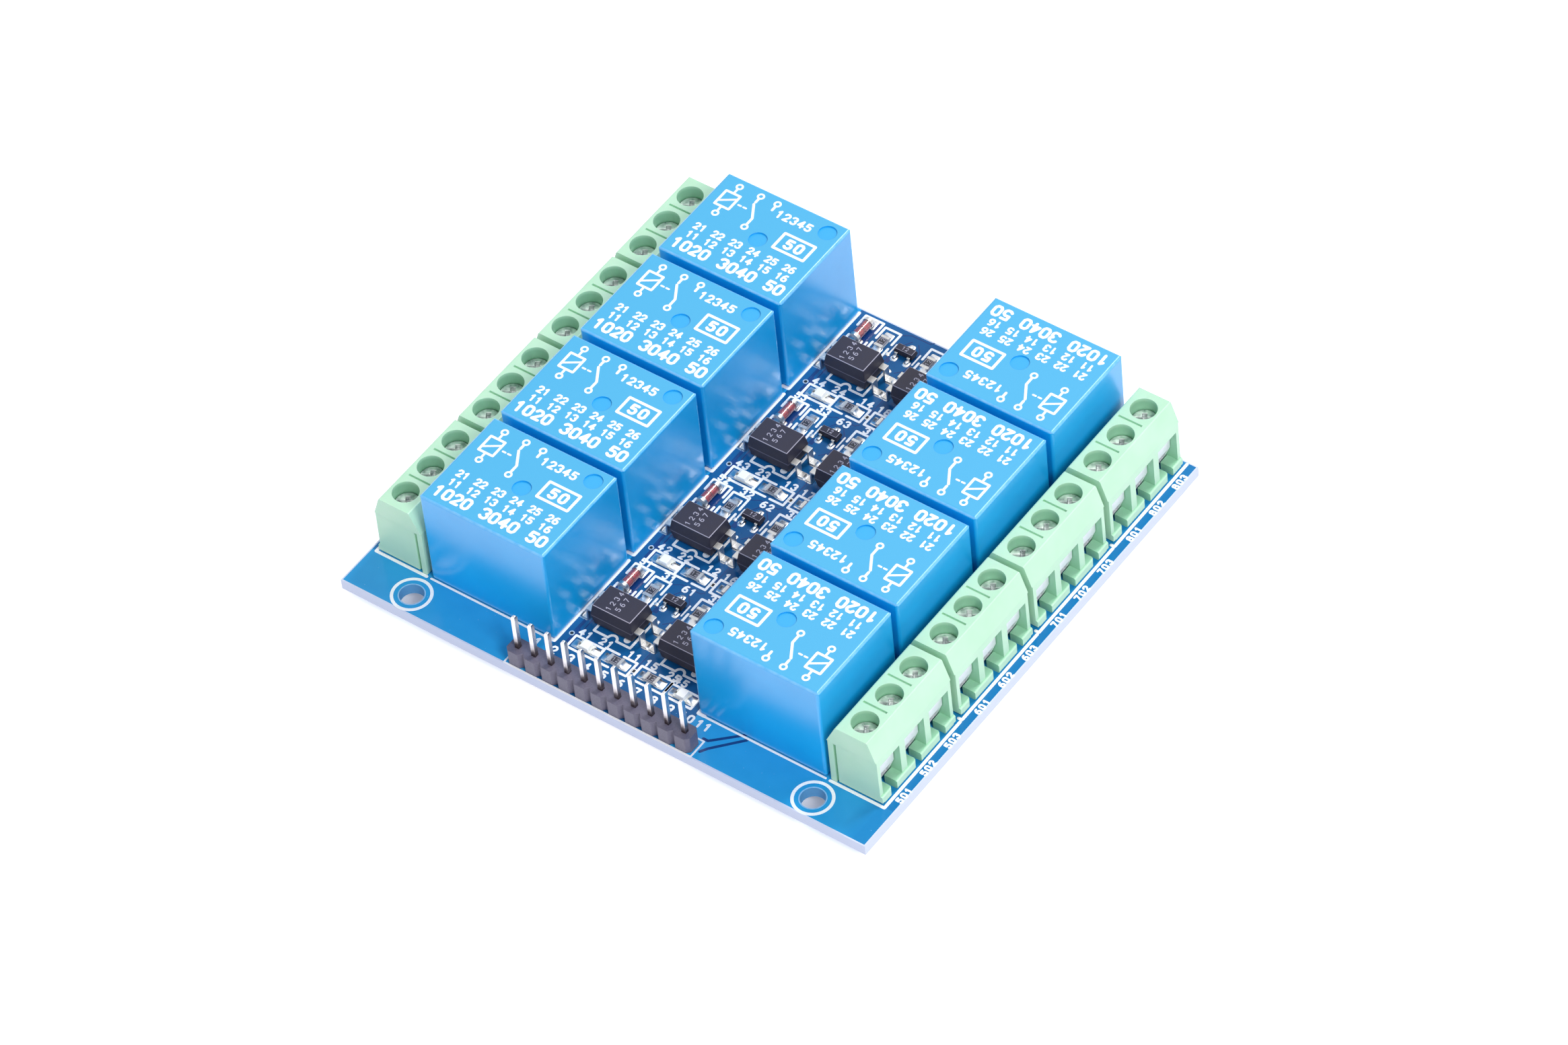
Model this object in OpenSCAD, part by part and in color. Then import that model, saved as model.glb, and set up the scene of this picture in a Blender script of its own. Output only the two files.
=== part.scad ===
// Eight-channel relay module. A circuit board carries eight sealed relays in two columns of
// four, a three-pole screw terminal outside each relay, and in the aisle between the columns
// the parts that drive each relay. A row of header pins takes the control signals in front.
//
// X runs along the front edge, Y into the depth and Z up. The origin lies on the surface that
// the trimmed pins stand on, below the middle of the board. Channels 1 to 4 are the left
// column and 5 to 8 the right column, each counted from the front.

/* [Board] */
// Width of the board, along its front edge
board_w = 80; // [79:0.5:100]
// Depth of the board
board_d = 72; // [71.5:0.5:90]
// Thickness of the board
board_t = 1.6; // [1:0.1:2.4]
// How far the trimmed pins stand out below the board
pin_stub = 1.9; // [1.4:0.1:3]
// How far the whole layout lies to the right of the board's middle
layout_shift = -0.3; // [-0.9:0.1:0.9]
// Distance from one row of relays to the next
row_pitch = 16.5; // [16:0.1:19]
// Distance from the front edge to the middle of the first row
first_row = 14.05; // [14:0.05:18]
// Width of the aisle between the two columns of relays
aisle_w = 22.1; // [22:0.1:26]
// Diameter of the mounting holes
hole_d = 3.2; // [2:0.1:3.6]
// Distance between the two mounting holes
hole_spacing = 61.3; // [58:0.1:66]
// Distance from the front edge to the mounting holes
hole_y = 2.8; // [2.6:0.1:3.4]
// Room around each pin in its plated hole, on the radius
plated_gap = 0.15; // [0.05:0.05:0.3]

/* [Relays] */
// Length of a relay, across the board
relay_l = 19.1; // [18.5:0.1:21]
// Width of a relay
relay_w = 15.4; // [14.5:0.1:15.8]
// Height of a relay's cover
relay_h = 15.05; // [12:0.05:18]
// Height of the feet that hold the relay off the board
relay_foot = 0.3; // [0.1:0.1:1]
// Diameter of the feet
relay_foot_d = 1.4; // [0.8:0.1:2]
// Radius of the cover's edges
cover_edge = 0.4; // [0.2:0.05:1]
// Wall of the cover around its base
cover_wall = 0.7; // [0.5:0.1:1.2]
// Thickness of the base
relay_base_t = 1.4; // [1:0.1:2.5]
// Clearance between the base and the cover, each side
base_fit = 0.05; // [0.02:0.01:0.1]
// Diameter of the two round marks moulded into the top
mark_d = 2.5; // [1.5:0.1:3.5]
// Depth of the round marks
mark_deep = 0.2; // [0.1:0.05:0.4]
// Distance of the corner mark from the end and the side of the cover
mark_inset = 2.15; // [2:0.05:3]
// How far the middle mark lies from the centre, towards the aisle
mark_offset = 0.55; // [0:0.05:2]
// Width of a relay pin
relay_pin_w = 1; // [0.6:0.1:1.2]
// Thickness of a relay pin
relay_pin_t = 0.5; // [0.3:0.1:0.8]
// Distance between the pins across the relay
relay_pin_spread = 12; // [10:0.1:12.4]
// Distance from the coil pins to the common pin at the aisle end
common_step = 2; // [1.8:0.1:2.2]
// Distance from the aisle end of the relay to its common pin
common_inset = 2; // [1.8:0.1:2.6]
// Distance from the terminal end of the relay to its contact pins
contact_inset = 2.9; // [2.4:0.1:3.4]

/* [Screw terminals] */
// Distance between poles
pole_pitch = 5.08; // [5:0.04:5.2]
// Housing left past the poles at each end
end_extra = 0.2; // [0.1:0.05:0.3]
// Depth of the housing, from the relay side to the wire side
term_d = 7.35; // [7:0.05:7.7]
// Height of the housing
term_h = 10.7; // [10.2:0.1:14]
// Gap between a relay and its terminal
term_gap = 0.7; // [0.4:0.05:0.9]
// Height of the shoulders, where both sides turn in towards the top
shoulder_h = 7.6; // [7.4:0.1:8]
// How far the relay side turns in
inner_slope = 1.5; // [0.5:0.1:1.9]
// How far the wire side turns in
outer_slope = 1.05; // [0.5:0.05:1.5]
// How far the foot of the wire side stands out past its shoulder
foot_flare = 0.1; // [0.05:0.05:0.3]
// Radius of the moulded edges
term_edge = 0.25; // [0.1:0.05:0.4]
// Thickness of the rib between two wire entries
rib_w = 1.1; // [0.9:0.1:1.4]
// Height of the sill below a wire entry
sill_h = 1.4; // [1.1:0.1:1.8]
// How far the sill and the ribs' feet stand out past the wire side
foot_reach = 0.3; // [0.2:0.05:0.5]
// Height of the top of a wire entry
entry_top = 6.4; // [6:0.05:6.7]
// Wall in front of the clamp
front_wall = 0.85; // [0.6:0.05:1]
// Wall on the relay side of the clamp
back_wall = 1.5; // [1.2:0.1:1.7]
// Width of the drain slot in the middle of each sill
sill_slot_w = 0.95; // [0.6:0.05:1.2]
// Radius of the foot's outer corner beside the drain slot
sill_corner = 0.5; // [0.2:0.1:0.6]
// Diameter of the screw wells
well_d = 3.5; // [3.4:0.05:3.6]
// How far the screws lie from the middle of the top, towards the wire side
screw_offset = 0.15; // [0:0.05:0.2]
// Thickness of the floor that a screw's head sits on
well_floor = 0.5; // [0.4:0.05:0.7]
// How far that floor lies below the shoulders
seat_drop = 0.2; // [0.1:0.05:0.4]
// Width of the lines moulded across the top between poles
top_line_w = 0.3; // [0.15:0.01:0.5]
// Depth of those lines
top_line_deep = 0.35; // [0.1:0.05:0.5]
// Length of those lines
top_line_l = 3.5; // [2:0.1:4]
// Distance from the relay side of the top to those lines
top_line_inset = 0.45; // [0.3:0.05:0.6]
// Depth of the recess on each end face, below the shoulders
end_recess = 0.15; // [0.05:0.05:0.15]
// Distance from the relay side to the slot in each end face
end_slot_x = 0.8; // [0.6:0.05:0.9]
// Width of the slot in each end face
end_slot_w = 0.4; // [0.3:0.05:0.5]
// Depth of the slot in each end face
end_slot_deep = 0.6; // [0.3:0.05:0.7]
// Height of the gap that lets flux out below each end face
end_relief = 0.35; // [0.2:0.05:0.5]

/* [Clamps and screws] */
// Clearance between a clamp and its chamber, each side
clamp_fit = 0.14; // [0.05:0.01:0.2]
// Wall of a clamp's sides and bottom
clamp_wall = 0.6; // [0.4:0.05:0.7]
// Wall of a clamp's threaded top
clamp_top_t = 1.6; // [1.2:0.1:1.7]
// How far a clamp's mouth leans back towards its bottom
clamp_lean = 0.95; // [0.8:0.05:1.2]
// Height of a clamp's bottom above the board
clamp_low = 0.9; // [0.7:0.1:1]
// Height of a clamp's top above the board
clamp_top = 5; // [4.8:0.1:6]
// Diameter of a screw's head
head_d = 3.3; // [3.1:0.05:3.35]
// Height of a screw's head
head_h = 1.4; // [1:0.1:2]
// Diameter of a screw's shank
shank_d = 2.6; // [2.2:0.1:2.8]
// Room around the shank in the floor of its well, on the radius
shank_gap = 0.1; // [0.05:0.01:0.15]
// Width of the slots in a screw's head
driver_slot_w = 0.6; // [0.4:0.05:0.8]
// Depth of the slots in a screw's head
driver_slot_deep = 0.7; // [0.4:0.05:0.9]
// Length of the short slot that crosses the long one
cross_slot_l = 2; // [1.6:0.1:2.4]
// Angle of the long slot to the relay's length
driver_turn = 30; // [0:5:90]
// Thickness of a terminal pin
term_pin_t = 0.7; // [0.5:0.05:0.8]
// Width of a terminal pin below its tongue
term_pin_w = 1; // [0.8:0.05:1.2]
// Width of the tongue that the wire is pressed against
tongue_w = 1.9; // [1.4:0.05:2]
// Clearance between a terminal pin and the wall behind it
term_pin_fit = 0.1; // [0.05:0.01:0.15]

/* [Pin header] */
// Number of pins
header_pins_n = 11; // [2:1:12]
// Distance between pins
header_pitch = 2.54; // [2.5:0.01:2.6]
// Side of a square pin
header_pin_w = 0.64; // [0.5:0.01:0.7]
// Depth of the plastic strip
header_d = 2.5; // [2.2:0.1:2.7]
// Height of the plastic strip
header_h = 2.54; // [2:0.02:3.5]
// Corner cut of each unit of the strip
header_notch = 0.5; // [0.3:0.05:0.7]
// How far the pins stand up from the board
header_pin_up = 8.2; // [6:0.1:12]
// How much shorter than the trimmed pins the header's pins are below the board
header_pin_short = 0.5; // [0.1:0.1:1]
// Length of a pin's pointed end
header_tip = 0.3; // [0.1:0.05:0.5]
// Distance from the front edge to the row of pins
header_y = 1.5; // [1.4:0.05:2]

/* [Optocouplers] */
// Length of the body, from lead side to lead side
opto_l = 6.4; // [6:0.1:6.6]
// Width of the body
opto_w = 4.4; // [4.2:0.1:4.8]
// Height of the body
opto_h = 3.5; // [3:0.1:4]
// Gap below the body
opto_lift = 0.3; // [0.1:0.05:0.4]
// How far the body's faces slope in from its parting line
opto_draft = 0.3; // [0.1:0.05:0.4]
// Distance between two leads on one side
opto_lead_pitch = 2.54; // [2.3:0.02:2.6]
// Width of a lead
opto_lead_w = 1; // [0.6:0.1:1.2]
// Thickness of a lead
opto_lead_t = 0.25; // [0.2:0.01:0.3]
// How far the leads' feet reach past the body
opto_reach = 1.75; // [1.4:0.05:1.8]
// Length of a lead's foot on its pad
opto_foot = 0.8; // [0.5:0.05:1]

/* [Small surface parts] */
// Length of the transistor's body
trans_l = 2.9; // [2.6:0.1:3]
// Width of the transistor's body
trans_w = 1.3; // [1.2:0.1:1.5]
// Height of the transistor's body
trans_h = 1; // [0.8:0.05:1.2]
// Distance between the transistor's two front leads
trans_lead_pitch = 1.9; // [1.8:0.05:2]
// Width of a transistor lead
trans_lead_w = 0.42; // [0.35:0.01:0.5]
// Thickness of a transistor lead
trans_lead_t = 0.15; // [0.1:0.01:0.18]
// How far the transistor's leads reach past its body
trans_reach = 0.55; // [0.45:0.05:0.6]
// Length of a glass diode with its end caps
diode_l = 3.5; // [3:0.1:3.7]
// Diameter of a diode's end caps
diode_d = 1.5; // [1.3:0.05:1.7]
// Diameter of a diode's glass tube
diode_glass_d = 1.36; // [1:0.02:1.4]
// Length of a diode's end cap
diode_cap_l = 0.5; // [0.3:0.05:0.6]
// Length of a light
led_l = 2.1; // [1.9:0.1:2.6]
// Width of a light
led_w = 1.3; // [1.2:0.1:1.6]
// Thickness of a light's base
led_base_t = 0.35; // [0.3:0.05:0.5]
// Length of a light's lens
led_lens_l = 1.4; // [1.1:0.1:1.5]
// Height of a light's lens over its base
led_lens_h = 0.5; // [0.3:0.05:0.7]
// Length of a resistor
res_l = 2; // [1.8:0.1:2.2]
// Width of a resistor
res_w = 1.25; // [1.1:0.05:1.4]
// Height of a resistor
res_h = 0.5; // [0.4:0.05:0.7]
// Length of a resistor's end cap
res_cap_l = 0.4; // [0.3:0.05:0.5]
// Thickness of a resistor's end cap
res_cap_t = 0.05; // [0.03:0.01:0.08]

/* [Solder] */
// Width of the solder around a pin where it meets the board, on the radius
solder_spread = 0.5; // [0.4:0.05:0.6]
// Width of the solder around a pin at its lower end, on the radius
solder_rim = 0.08; // [0.05:0.01:0.12]
// How much of a trimmed pin stands out of its solder
solder_bare = 0.5; // [0.3:0.05:0.6]

/* [Hidden] */
$fn = 32;
rows = 4;
top_z = pin_stub + board_t;
relay_x = aisle_w / 2 + relay_l / 2;
contact_step = relay_l - common_inset - contact_inset;
term_x = aisle_w / 2 + relay_l + term_gap;
term_l = 3 * pole_pitch + 2 * end_extra;
entry_w = pole_pitch - rib_w;
head_seat = shoulder_h - seat_drop;
chamber_top = head_seat - well_floor;
clamp_w = entry_w - 2 * clamp_fit;
clamp_mouth = term_d - front_wall - clamp_fit;
clamp_slant = clamp_lean / (clamp_top - clamp_top_t - clamp_low);
sill_back = clamp_mouth - clamp_lean + (sill_h - clamp_low) * clamp_slant + clamp_fit;
foot_x = term_d + foot_reach;
term_pin_x = back_wall + term_pin_fit;
clamp_back = term_pin_x + term_pin_t + clamp_fit;
screw_x = (inner_slope + term_d - outer_slope - foot_flare) / 2 + screw_offset;
tongue_top = clamp_top - clamp_top_t - clamp_fit;
tongue_end = screw_x + shank_d / 2;
header_first = -(header_pins_n - 1) * header_pitch / 2;
lead_mid = opto_lift + opto_h / 2;
relay_hole_d = norm([relay_pin_w, relay_pin_t]) + 2 * plated_gap;
term_hole_d = norm([term_pin_w, term_pin_t]) + 2 * plated_gap;
header_hole_d = norm([header_pin_w, header_pin_w]) + 2 * plated_gap;

// Where a channel's parts lie in the aisle, from the middle of the aisle and of the row:
// the left channel's place first, then the right channel's.
opto_at = [[-5.4, -1.2], [4.9, -1.2]];
led_at = [[-6.85, -6.75], [7.85, -6.75]];
led_resistor_at = [[-2.45, -6.6], [3.05, -6.6]];
base_resistor_at = [[-5.45, 4.8], [1.7, 4.8]];
transistor_at = [[-1.75, 4.8], [5.45, 4.8]];
diode_at = [[-8.6, 4.85], [8.6, 4.85]];

// ---- Places ----

function column(channel) = channel <= rows ? 0 : 1;
function side(channel) = channel <= rows ? -1 : 1;
function row_y(channel) = first_row - board_d / 2 + (channel - 1) % rows * row_pitch;

// Moves what is drawn for the right column to a channel's relay or terminal. The left
// column is the right one turned by half a turn.
module at_channel(channel)
  translate([layout_shift, row_y(channel), top_z])
    rotate(side(channel) > 0 ? 0 : 180)
      children();

// Moves a small part to its place in the aisle, for every channel.
module in_aisle(places)
  for (channel = [1 : 2 * rows])
    translate([
      layout_shift + places[column(channel)][0],
      row_y(channel) + places[column(channel)][1],
      top_z
    ])
      children();

// The three poles of a terminal, in order along Y.
module at_poles()
  for (pole = [-1 : 1])
    translate([0, pole * pole_pitch, 0])
      children();

module at_relay_pins()
  translate([aisle_w / 2 + common_inset, 0, 0]) {
    children();
    for (y = [-1, 1] * relay_pin_spread / 2, x = [common_step, contact_step])
      translate([x, y, 0])
        children();
  }

module at_header_pins()
  translate([layout_shift, header_y - board_d / 2, 0])
    for (i = [0 : header_pins_n - 1])
      translate([header_first + i * header_pitch, 0, 0])
        children();

// ---- Shapes that repeat ----

module rounded_rect(size, r) {
  square([size[0] - 2 * r, size[1]], center = true);
  square([size[0], size[1] - 2 * r], center = true);
  for (x = [-1, 1] * (size[0] / 2 - r), y = [-1, 1] * (size[1] / 2 - r))
    translate([x, y])
      circle(r);
}

// A profile drawn in X and Z, extruded along Y by a length, centred.
module along_y(length)
  translate([0, length / 2, 0])
    rotate([90, 0, 0])
      linear_extrude(length)
        children();

// A profile drawn in Y and Z, extruded along X by a length, centred.
module along_x(length)
  translate([-length / 2, 0, 0])
    rotate([90, 0, 90])
      linear_extrude(length)
        children();

// A bar standing on z = low, with its edges bevelled at both ends.
module pointed_bar(w, low, high, tip)
  intersection() {
    along_y(w)
      pointed_outline(w, low, high, tip);
    along_x(w)
      pointed_outline(w, low, high, tip);
  }

module pointed_outline(w, low, high, tip) {
  a = w / 2;
  b = w / 2 - tip / 2;
  polygon([
    [-b, low], [b, low], [a, low + tip], [a, high - tip],
    [b, high], [-b, high], [-a, high - tip], [-a, low + tip]
  ]);
}

// A moulded body with draft above and below its parting line.
module drafted_body(l, w, h, draft, lift) {
  intersection() {
    along_y(w)
      drafted_outline(l, h, draft, lift);
    along_x(l)
      drafted_outline(w, h, draft, lift);
  }
}

module drafted_outline(l, h, draft, lift)
  polygon([
    [-l / 2 + draft, lift], [l / 2 - draft, lift], [l / 2, lift + h / 2],
    [l / 2 - draft, lift + h], [-l / 2 + draft, lift + h], [-l / 2, lift + h / 2]
  ]);

// A lead bent like a gull's wing: out of the body, down, and along its pad.
module gull_lead(from, reach, high, foot, t, w) {
  knee = from + reach - foot;
  along_y(w)
    polygon([
      [from, high - t / 2], [knee - t, high - t / 2], [knee - t, 0], [from + reach, 0],
      [from + reach, t], [knee, t], [knee, high + t / 2], [from, high + t / 2]
    ]);
}

// ---- Board ----

module board()
  color("royalblue")
    translate([0, 0, pin_stub])
      linear_extrude(board_t)
        difference() {
          square([board_w, board_d], center = true);
          for (x = [-1, 1] * hole_spacing / 2)
            translate([layout_shift + x, hole_y - board_d / 2])
              circle(d = hole_d);
          at_header_pins()
            circle(d = header_hole_d);
          for (channel = [1 : 2 * rows])
            translate([layout_shift, row_y(channel)])
              rotate(side(channel) > 0 ? 0 : 180) {
                at_relay_pins()
                  circle(d = relay_hole_d);
                translate([term_x + term_pin_x + term_pin_t / 2, 0])
                  at_poles()
                    circle(d = term_hole_d);
              }
        }

// ---- Relays ----

module relay_cover(channel)
  color("dodgerblue")
    at_channel(channel)
      translate([relay_x, 0, relay_foot])
        difference() {
          cover_block();
          translate([0, 0, -1])
            linear_extrude(1 + relay_base_t)
              square([relay_l, relay_w] - 2 * [cover_wall, cover_wall], center = true);
          cover_marks();
        }

// The cover's outside: three rounded prisms that cross, so that every edge is round.
module cover_block()
  intersection() {
    linear_extrude(relay_h)
      rounded_rect([relay_l, relay_w], cover_edge);
    along_y(relay_w + 1)
      cover_side(relay_l);
    along_x(relay_l + 1)
      cover_side(relay_w);
  }

module cover_side(width)
  translate([0, relay_h / 2 - cover_edge])
    rounded_rect([width, relay_h + 2 * cover_edge], cover_edge);

module cover_marks() {
  corner = [relay_l / 2, relay_w / 2] - [mark_inset, mark_inset];
  for (place = [-corner, [-mark_offset, 0]])
    translate([place[0], place[1], relay_h - mark_deep])
      cylinder(d = mark_d, h = mark_deep + 1);
}

module relay_base(channel)
  color("midnightblue")
    at_channel(channel)
      difference() {
        translate([relay_x, 0, 0]) {
          translate([0, 0, relay_foot])
            linear_extrude(relay_base_t)
              square(base_size(), center = true);
          for (x = [-1, 1], y = [-1, 1])
            translate([
              x * (base_size()[0] - relay_foot_d) / 2,
              y * (base_size()[1] - relay_foot_d) / 2,
              0
            ])
              cylinder(d = relay_foot_d, h = relay_foot + relay_base_t / 2);
        }
        at_relay_pins()
          translate([0, 0, -1])
            linear_extrude(relay_base_t + 3)
              square([relay_pin_t, relay_pin_w], center = true);
      }

function base_size() =
  [relay_l, relay_w] - 2 * [cover_wall + base_fit, cover_wall + base_fit];

module relay_pins()
  color("silver")
    for (channel = [1 : 2 * rows])
      at_channel(channel)
        at_relay_pins()
          translate([0, 0, -top_z])
            linear_extrude(top_z + relay_foot + relay_base_t)
              square([relay_pin_t, relay_pin_w], center = true);

// ---- Screw terminals ----

module terminal_housing(channel)
  color("palegreen")
    at_channel(channel)
      translate([term_x, 0, 0])
        difference() {
          along_y(term_l)
            housing_outline();
          at_poles()
            pole_cuts();
          top_lines();
          for (y = [-1, 1])
            scale([1, y, 1])
              end_face_cuts();
        }

module housing_outline()
  offset(r = term_edge)
    offset(delta = -term_edge)
      polygon([
        [0, 0], [foot_x, 0], [foot_x, sill_h], [term_d, sill_h],
        [term_d - foot_flare, shoulder_h],
        [term_d - foot_flare - outer_slope, term_h], [inner_slope, term_h],
        [0, shoulder_h]
      ]);

// What is cut away at each pole: the screw's well, the clamp's chamber, the wire entry and
// the slot in the sill.
module pole_cuts() {
  translate([screw_x, 0, head_seat])
    cylinder(d = well_d, h = term_h);
  translate([screw_x, 0, chamber_top - 1])
    cylinder(d = shank_d + 2 * shank_gap, h = well_floor + 2);
  translate([back_wall, -entry_w / 2, sill_h])
    cube([term_d - front_wall - back_wall, entry_w, chamber_top - sill_h]);
  translate([back_wall, -entry_w / 2, -1])
    cube([sill_back - back_wall, entry_w, sill_h + 2]);
  translate([term_d - front_wall - 0.5, -entry_w / 2, sill_h])
    cube([front_wall + 1, entry_w, entry_top - sill_h]);
  translate([0, 0, -1])
    linear_extrude(sill_h + 1)
      sill_slot();
}

// The drain slot, which opens out in a round at the outer corner of the rib's foot.
module sill_slot() {
  foot_side = -sill_slot_w / 2;
  translate([sill_back - 0.5, foot_side])
    square([foot_x - sill_back + 1, sill_slot_w]);
  difference() {
    translate([foot_x - sill_corner, foot_side - sill_corner])
      square([sill_corner + 1, sill_corner + sill_slot_w / 2]);
    translate([foot_x - sill_corner, foot_side - sill_corner])
      circle(sill_corner);
  }
}

module top_lines()
  for (y = [-1, 1] * pole_pitch / 2)
    translate([inner_slope + top_line_inset, y - top_line_w / 2, term_h - top_line_deep])
      cube([top_line_l, top_line_w, top_line_deep + 1]);

module end_face_cuts() {
  translate([-1, term_l / 2 - end_recess, -1])
    cube([term_d + 2, 1, shoulder_h + 1]);
  translate([end_slot_x, term_l / 2 - end_slot_deep, -1])
    cube([end_slot_w, end_slot_deep + 1, shoulder_h + 1 - end_slot_w]);
  translate([end_slot_x, term_l / 2 - end_slot_deep, -1])
    cube([term_d, end_slot_deep + 1, end_relief + 1]);
}

// A clamp is a square tube that the wire goes into, with a threaded top and a mouth that
// leans back.
module terminal_clamps(channel)
  color("lightgray")
    at_channel(channel)
      translate([term_x, 0, 0])
        at_poles()
          difference() {
            along_y(clamp_w)
              polygon([
                [clamp_back, clamp_low], [clamp_mouth - clamp_lean, clamp_low],
                [clamp_mouth, clamp_top - clamp_top_t], [clamp_mouth, clamp_top],
                [clamp_back, clamp_top]
              ]);
            translate([0, clamp_wall - clamp_w / 2, clamp_low + clamp_wall])
              cube([
                term_d, clamp_w - 2 * clamp_wall,
                clamp_top - clamp_top_t - clamp_low - clamp_wall
              ]);
            translate([screw_x, 0, clamp_low + 1])
              cylinder(d = shank_d, h = term_h);
          }

module terminal_screws(channel)
  color("gainsboro")
    at_channel(channel)
      translate([term_x + screw_x, 0, 0])
        at_poles()
          difference() {
            union() {
              translate([0, 0, head_seat])
                cylinder(d = head_d, h = head_h);
              translate([0, 0, tongue_top])
                cylinder(d = shank_d, h = head_seat - tongue_top + head_h / 2);
            }
            for (turn = [0, 90])
              rotate(driver_turn + turn)
                translate([0, 0, head_seat + head_h])
                  cube([
                    turn > 0 ? cross_slot_l : head_d + 1, driver_slot_w,
                    2 * driver_slot_deep
                  ], center = true);
          }

// A terminal pin is a bent strip: a tongue in the clamp, a back that stands behind it and a
// tail through the board.
module terminal_pins()
  color("silver")
    for (channel = [1 : 2 * rows])
      at_channel(channel)
        translate([term_x + term_pin_x, 0, 0])
          at_poles() {
            along_y(tongue_w)
              polygon([
                [0, 0], [term_pin_t, 0], [term_pin_t, tongue_top - term_pin_t],
                [tongue_end - term_pin_x, tongue_top - term_pin_t],
                [tongue_end - term_pin_x, tongue_top], [0, tongue_top]
              ]);
            translate([term_pin_t / 2, 0, -top_z])
              linear_extrude(top_z + term_pin_t)
                square([term_pin_t, term_pin_w], center = true);
          }

// ---- Pin header ----

module header_strip() {
  a = header_pitch / 2;
  b = header_d / 2;
  n = header_notch;
  color("dimgray")
    translate([0, 0, top_z])
      linear_extrude(header_h)
        at_header_pins()
          difference() {
            polygon([
              [-a, n - b], [n - a, -b], [a - n, -b], [a, n - b],
              [a, b - n], [a - n, b], [n - a, b], [-a, b - n]
            ]);
            square(header_pin_w, center = true);
          }
}

module header_pins()
  color("silver")
    at_header_pins()
      pointed_bar(header_pin_w, header_pin_short, top_z + header_pin_up, header_tip);

// ---- Parts in the aisle ----

module optocoupler_bodies()
  color("darkslategray")
    in_aisle(opto_at)
      drafted_body(opto_l, opto_w, opto_h, opto_draft, opto_lift);

module optocoupler_leads()
  color("silver")
    in_aisle(opto_at)
      for (turn = [0, 180], y = [-1, 1] * opto_lead_pitch / 2)
        rotate(turn)
          translate([0, y, 0])
            gull_lead(opto_l / 2, opto_reach, lead_mid, opto_foot, opto_lead_t, opto_lead_w);

module transistor_bodies()
  color("dimgray")
    in_aisle(transistor_at)
      drafted_body(trans_l, trans_w, trans_h, trans_lead_t, trans_lead_t / 2);

module transistor_leads()
  color("silver")
    in_aisle(transistor_at) {
      for (x = [-1, 1] * trans_lead_pitch / 2)
        translate([x, 0, 0])
          rotate(-90)
            transistor_lead();
      rotate(90)
        transistor_lead();
    }

module transistor_lead()
  gull_lead(trans_w / 2, trans_reach, (trans_lead_t + trans_h) / 2, trans_reach / 2,
    trans_lead_t, trans_lead_w);

module diode_tubes()
  color("firebrick")
    in_aisle(diode_at)
      translate([0, 0, diode_d / 2])
        rotate([90, 0, 0])
          cylinder(d = diode_glass_d, h = diode_l - 2 * diode_cap_l, center = true);

module diode_caps()
  color("silver")
    in_aisle(diode_at)
      for (turn = [0, 180])
        rotate(turn)
          translate([0, diode_l / 2, diode_d / 2])
            rotate([90, 0, 0])
              cylinder(d = diode_d, h = diode_cap_l);

module led_bases()
  color("white")
    in_aisle(led_at)
      linear_extrude(led_base_t)
        difference() {
          square([led_l, led_w], center = true);
          for (x = [-1, 1] * led_l / 2)
            translate([x, 0])
              circle(d = led_w / 3);
        }

module led_lenses()
  color("lightyellow")
    in_aisle(led_at)
      translate([0, 0, led_base_t])
        along_y(led_w)
          polygon([
            [-led_lens_l / 2, 0], [led_lens_l / 2, 0],
            [led_lens_l / 2 - led_lens_h / 4, led_lens_h],
            [led_lens_h / 4 - led_lens_l / 2, led_lens_h]
          ]);

// Each channel has a resistor for its light, along X, and one for its transistor, along Y.
module at_resistors() {
  in_aisle(led_resistor_at)
    children();
  in_aisle(base_resistor_at)
    rotate(90)
      children();
}

module resistor_bodies()
  color("dimgray")
    at_resistors()
      translate([0, 0, res_h / 2])
        cube([res_l - 2 * res_cap_t, res_w, res_h - 2 * res_cap_t], center = true);

module resistor_caps()
  color("silver")
    at_resistors()
      for (turn = [0, 180])
        rotate(turn)
          along_y(res_w)
            polygon([
              [res_l / 2 - res_cap_l, 0], [res_l / 2, 0], [res_l / 2, res_h],
              [res_l / 2 - res_cap_l, res_h], [res_l / 2 - res_cap_l, res_h - res_cap_t],
              [res_l / 2 - res_cap_t, res_h - res_cap_t], [res_l / 2 - res_cap_t, res_cap_t],
              [res_l / 2 - res_cap_l, res_cap_t]
            ]);

// ---- Solder ----

// A cone of solder around a pin below the board, with the pin's own section left out.
module solder_joint(size, low) {
  pin_r = norm(size) / 2;
  difference() {
    translate([0, 0, low])
      cylinder(r1 = pin_r + solder_rim, r2 = pin_r + solder_spread, h = pin_stub - low);
    translate([0, 0, low - 1])
      linear_extrude(pin_stub + 2)
        square(size, center = true);
  }
}

module solder_joints()
  color("gainsboro") {
    at_header_pins()
      solder_joint([header_pin_w, header_pin_w], header_pin_short + solder_bare);
    for (channel = [1 : 2 * rows])
      at_channel(channel)
        translate([0, 0, -top_z]) {
          at_relay_pins()
            solder_joint([relay_pin_t, relay_pin_w], solder_bare);
          translate([term_x + term_pin_x + term_pin_t / 2, 0, 0])
            at_poles()
              solder_joint([term_pin_t, term_pin_w], solder_bare);
        }
  }

// ---- Nodes ----

board();
for (i = [1 : 2 * rows]) {
  relay_cover(i);
  relay_base(i);
  terminal_housing(i);
  terminal_clamps(i);
  terminal_screws(i);
}
relay_pins();
terminal_pins();
header_strip();
header_pins();
optocoupler_bodies();
optocoupler_leads();
transistor_bodies();
transistor_leads();
diode_tubes();
diode_caps();
led_bases();
led_lenses();
resistor_bodies();
resistor_caps();
solder_joints();
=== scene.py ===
import itertools
import math

import bmesh
import bpy
from mathutils import Matrix, Vector


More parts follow.
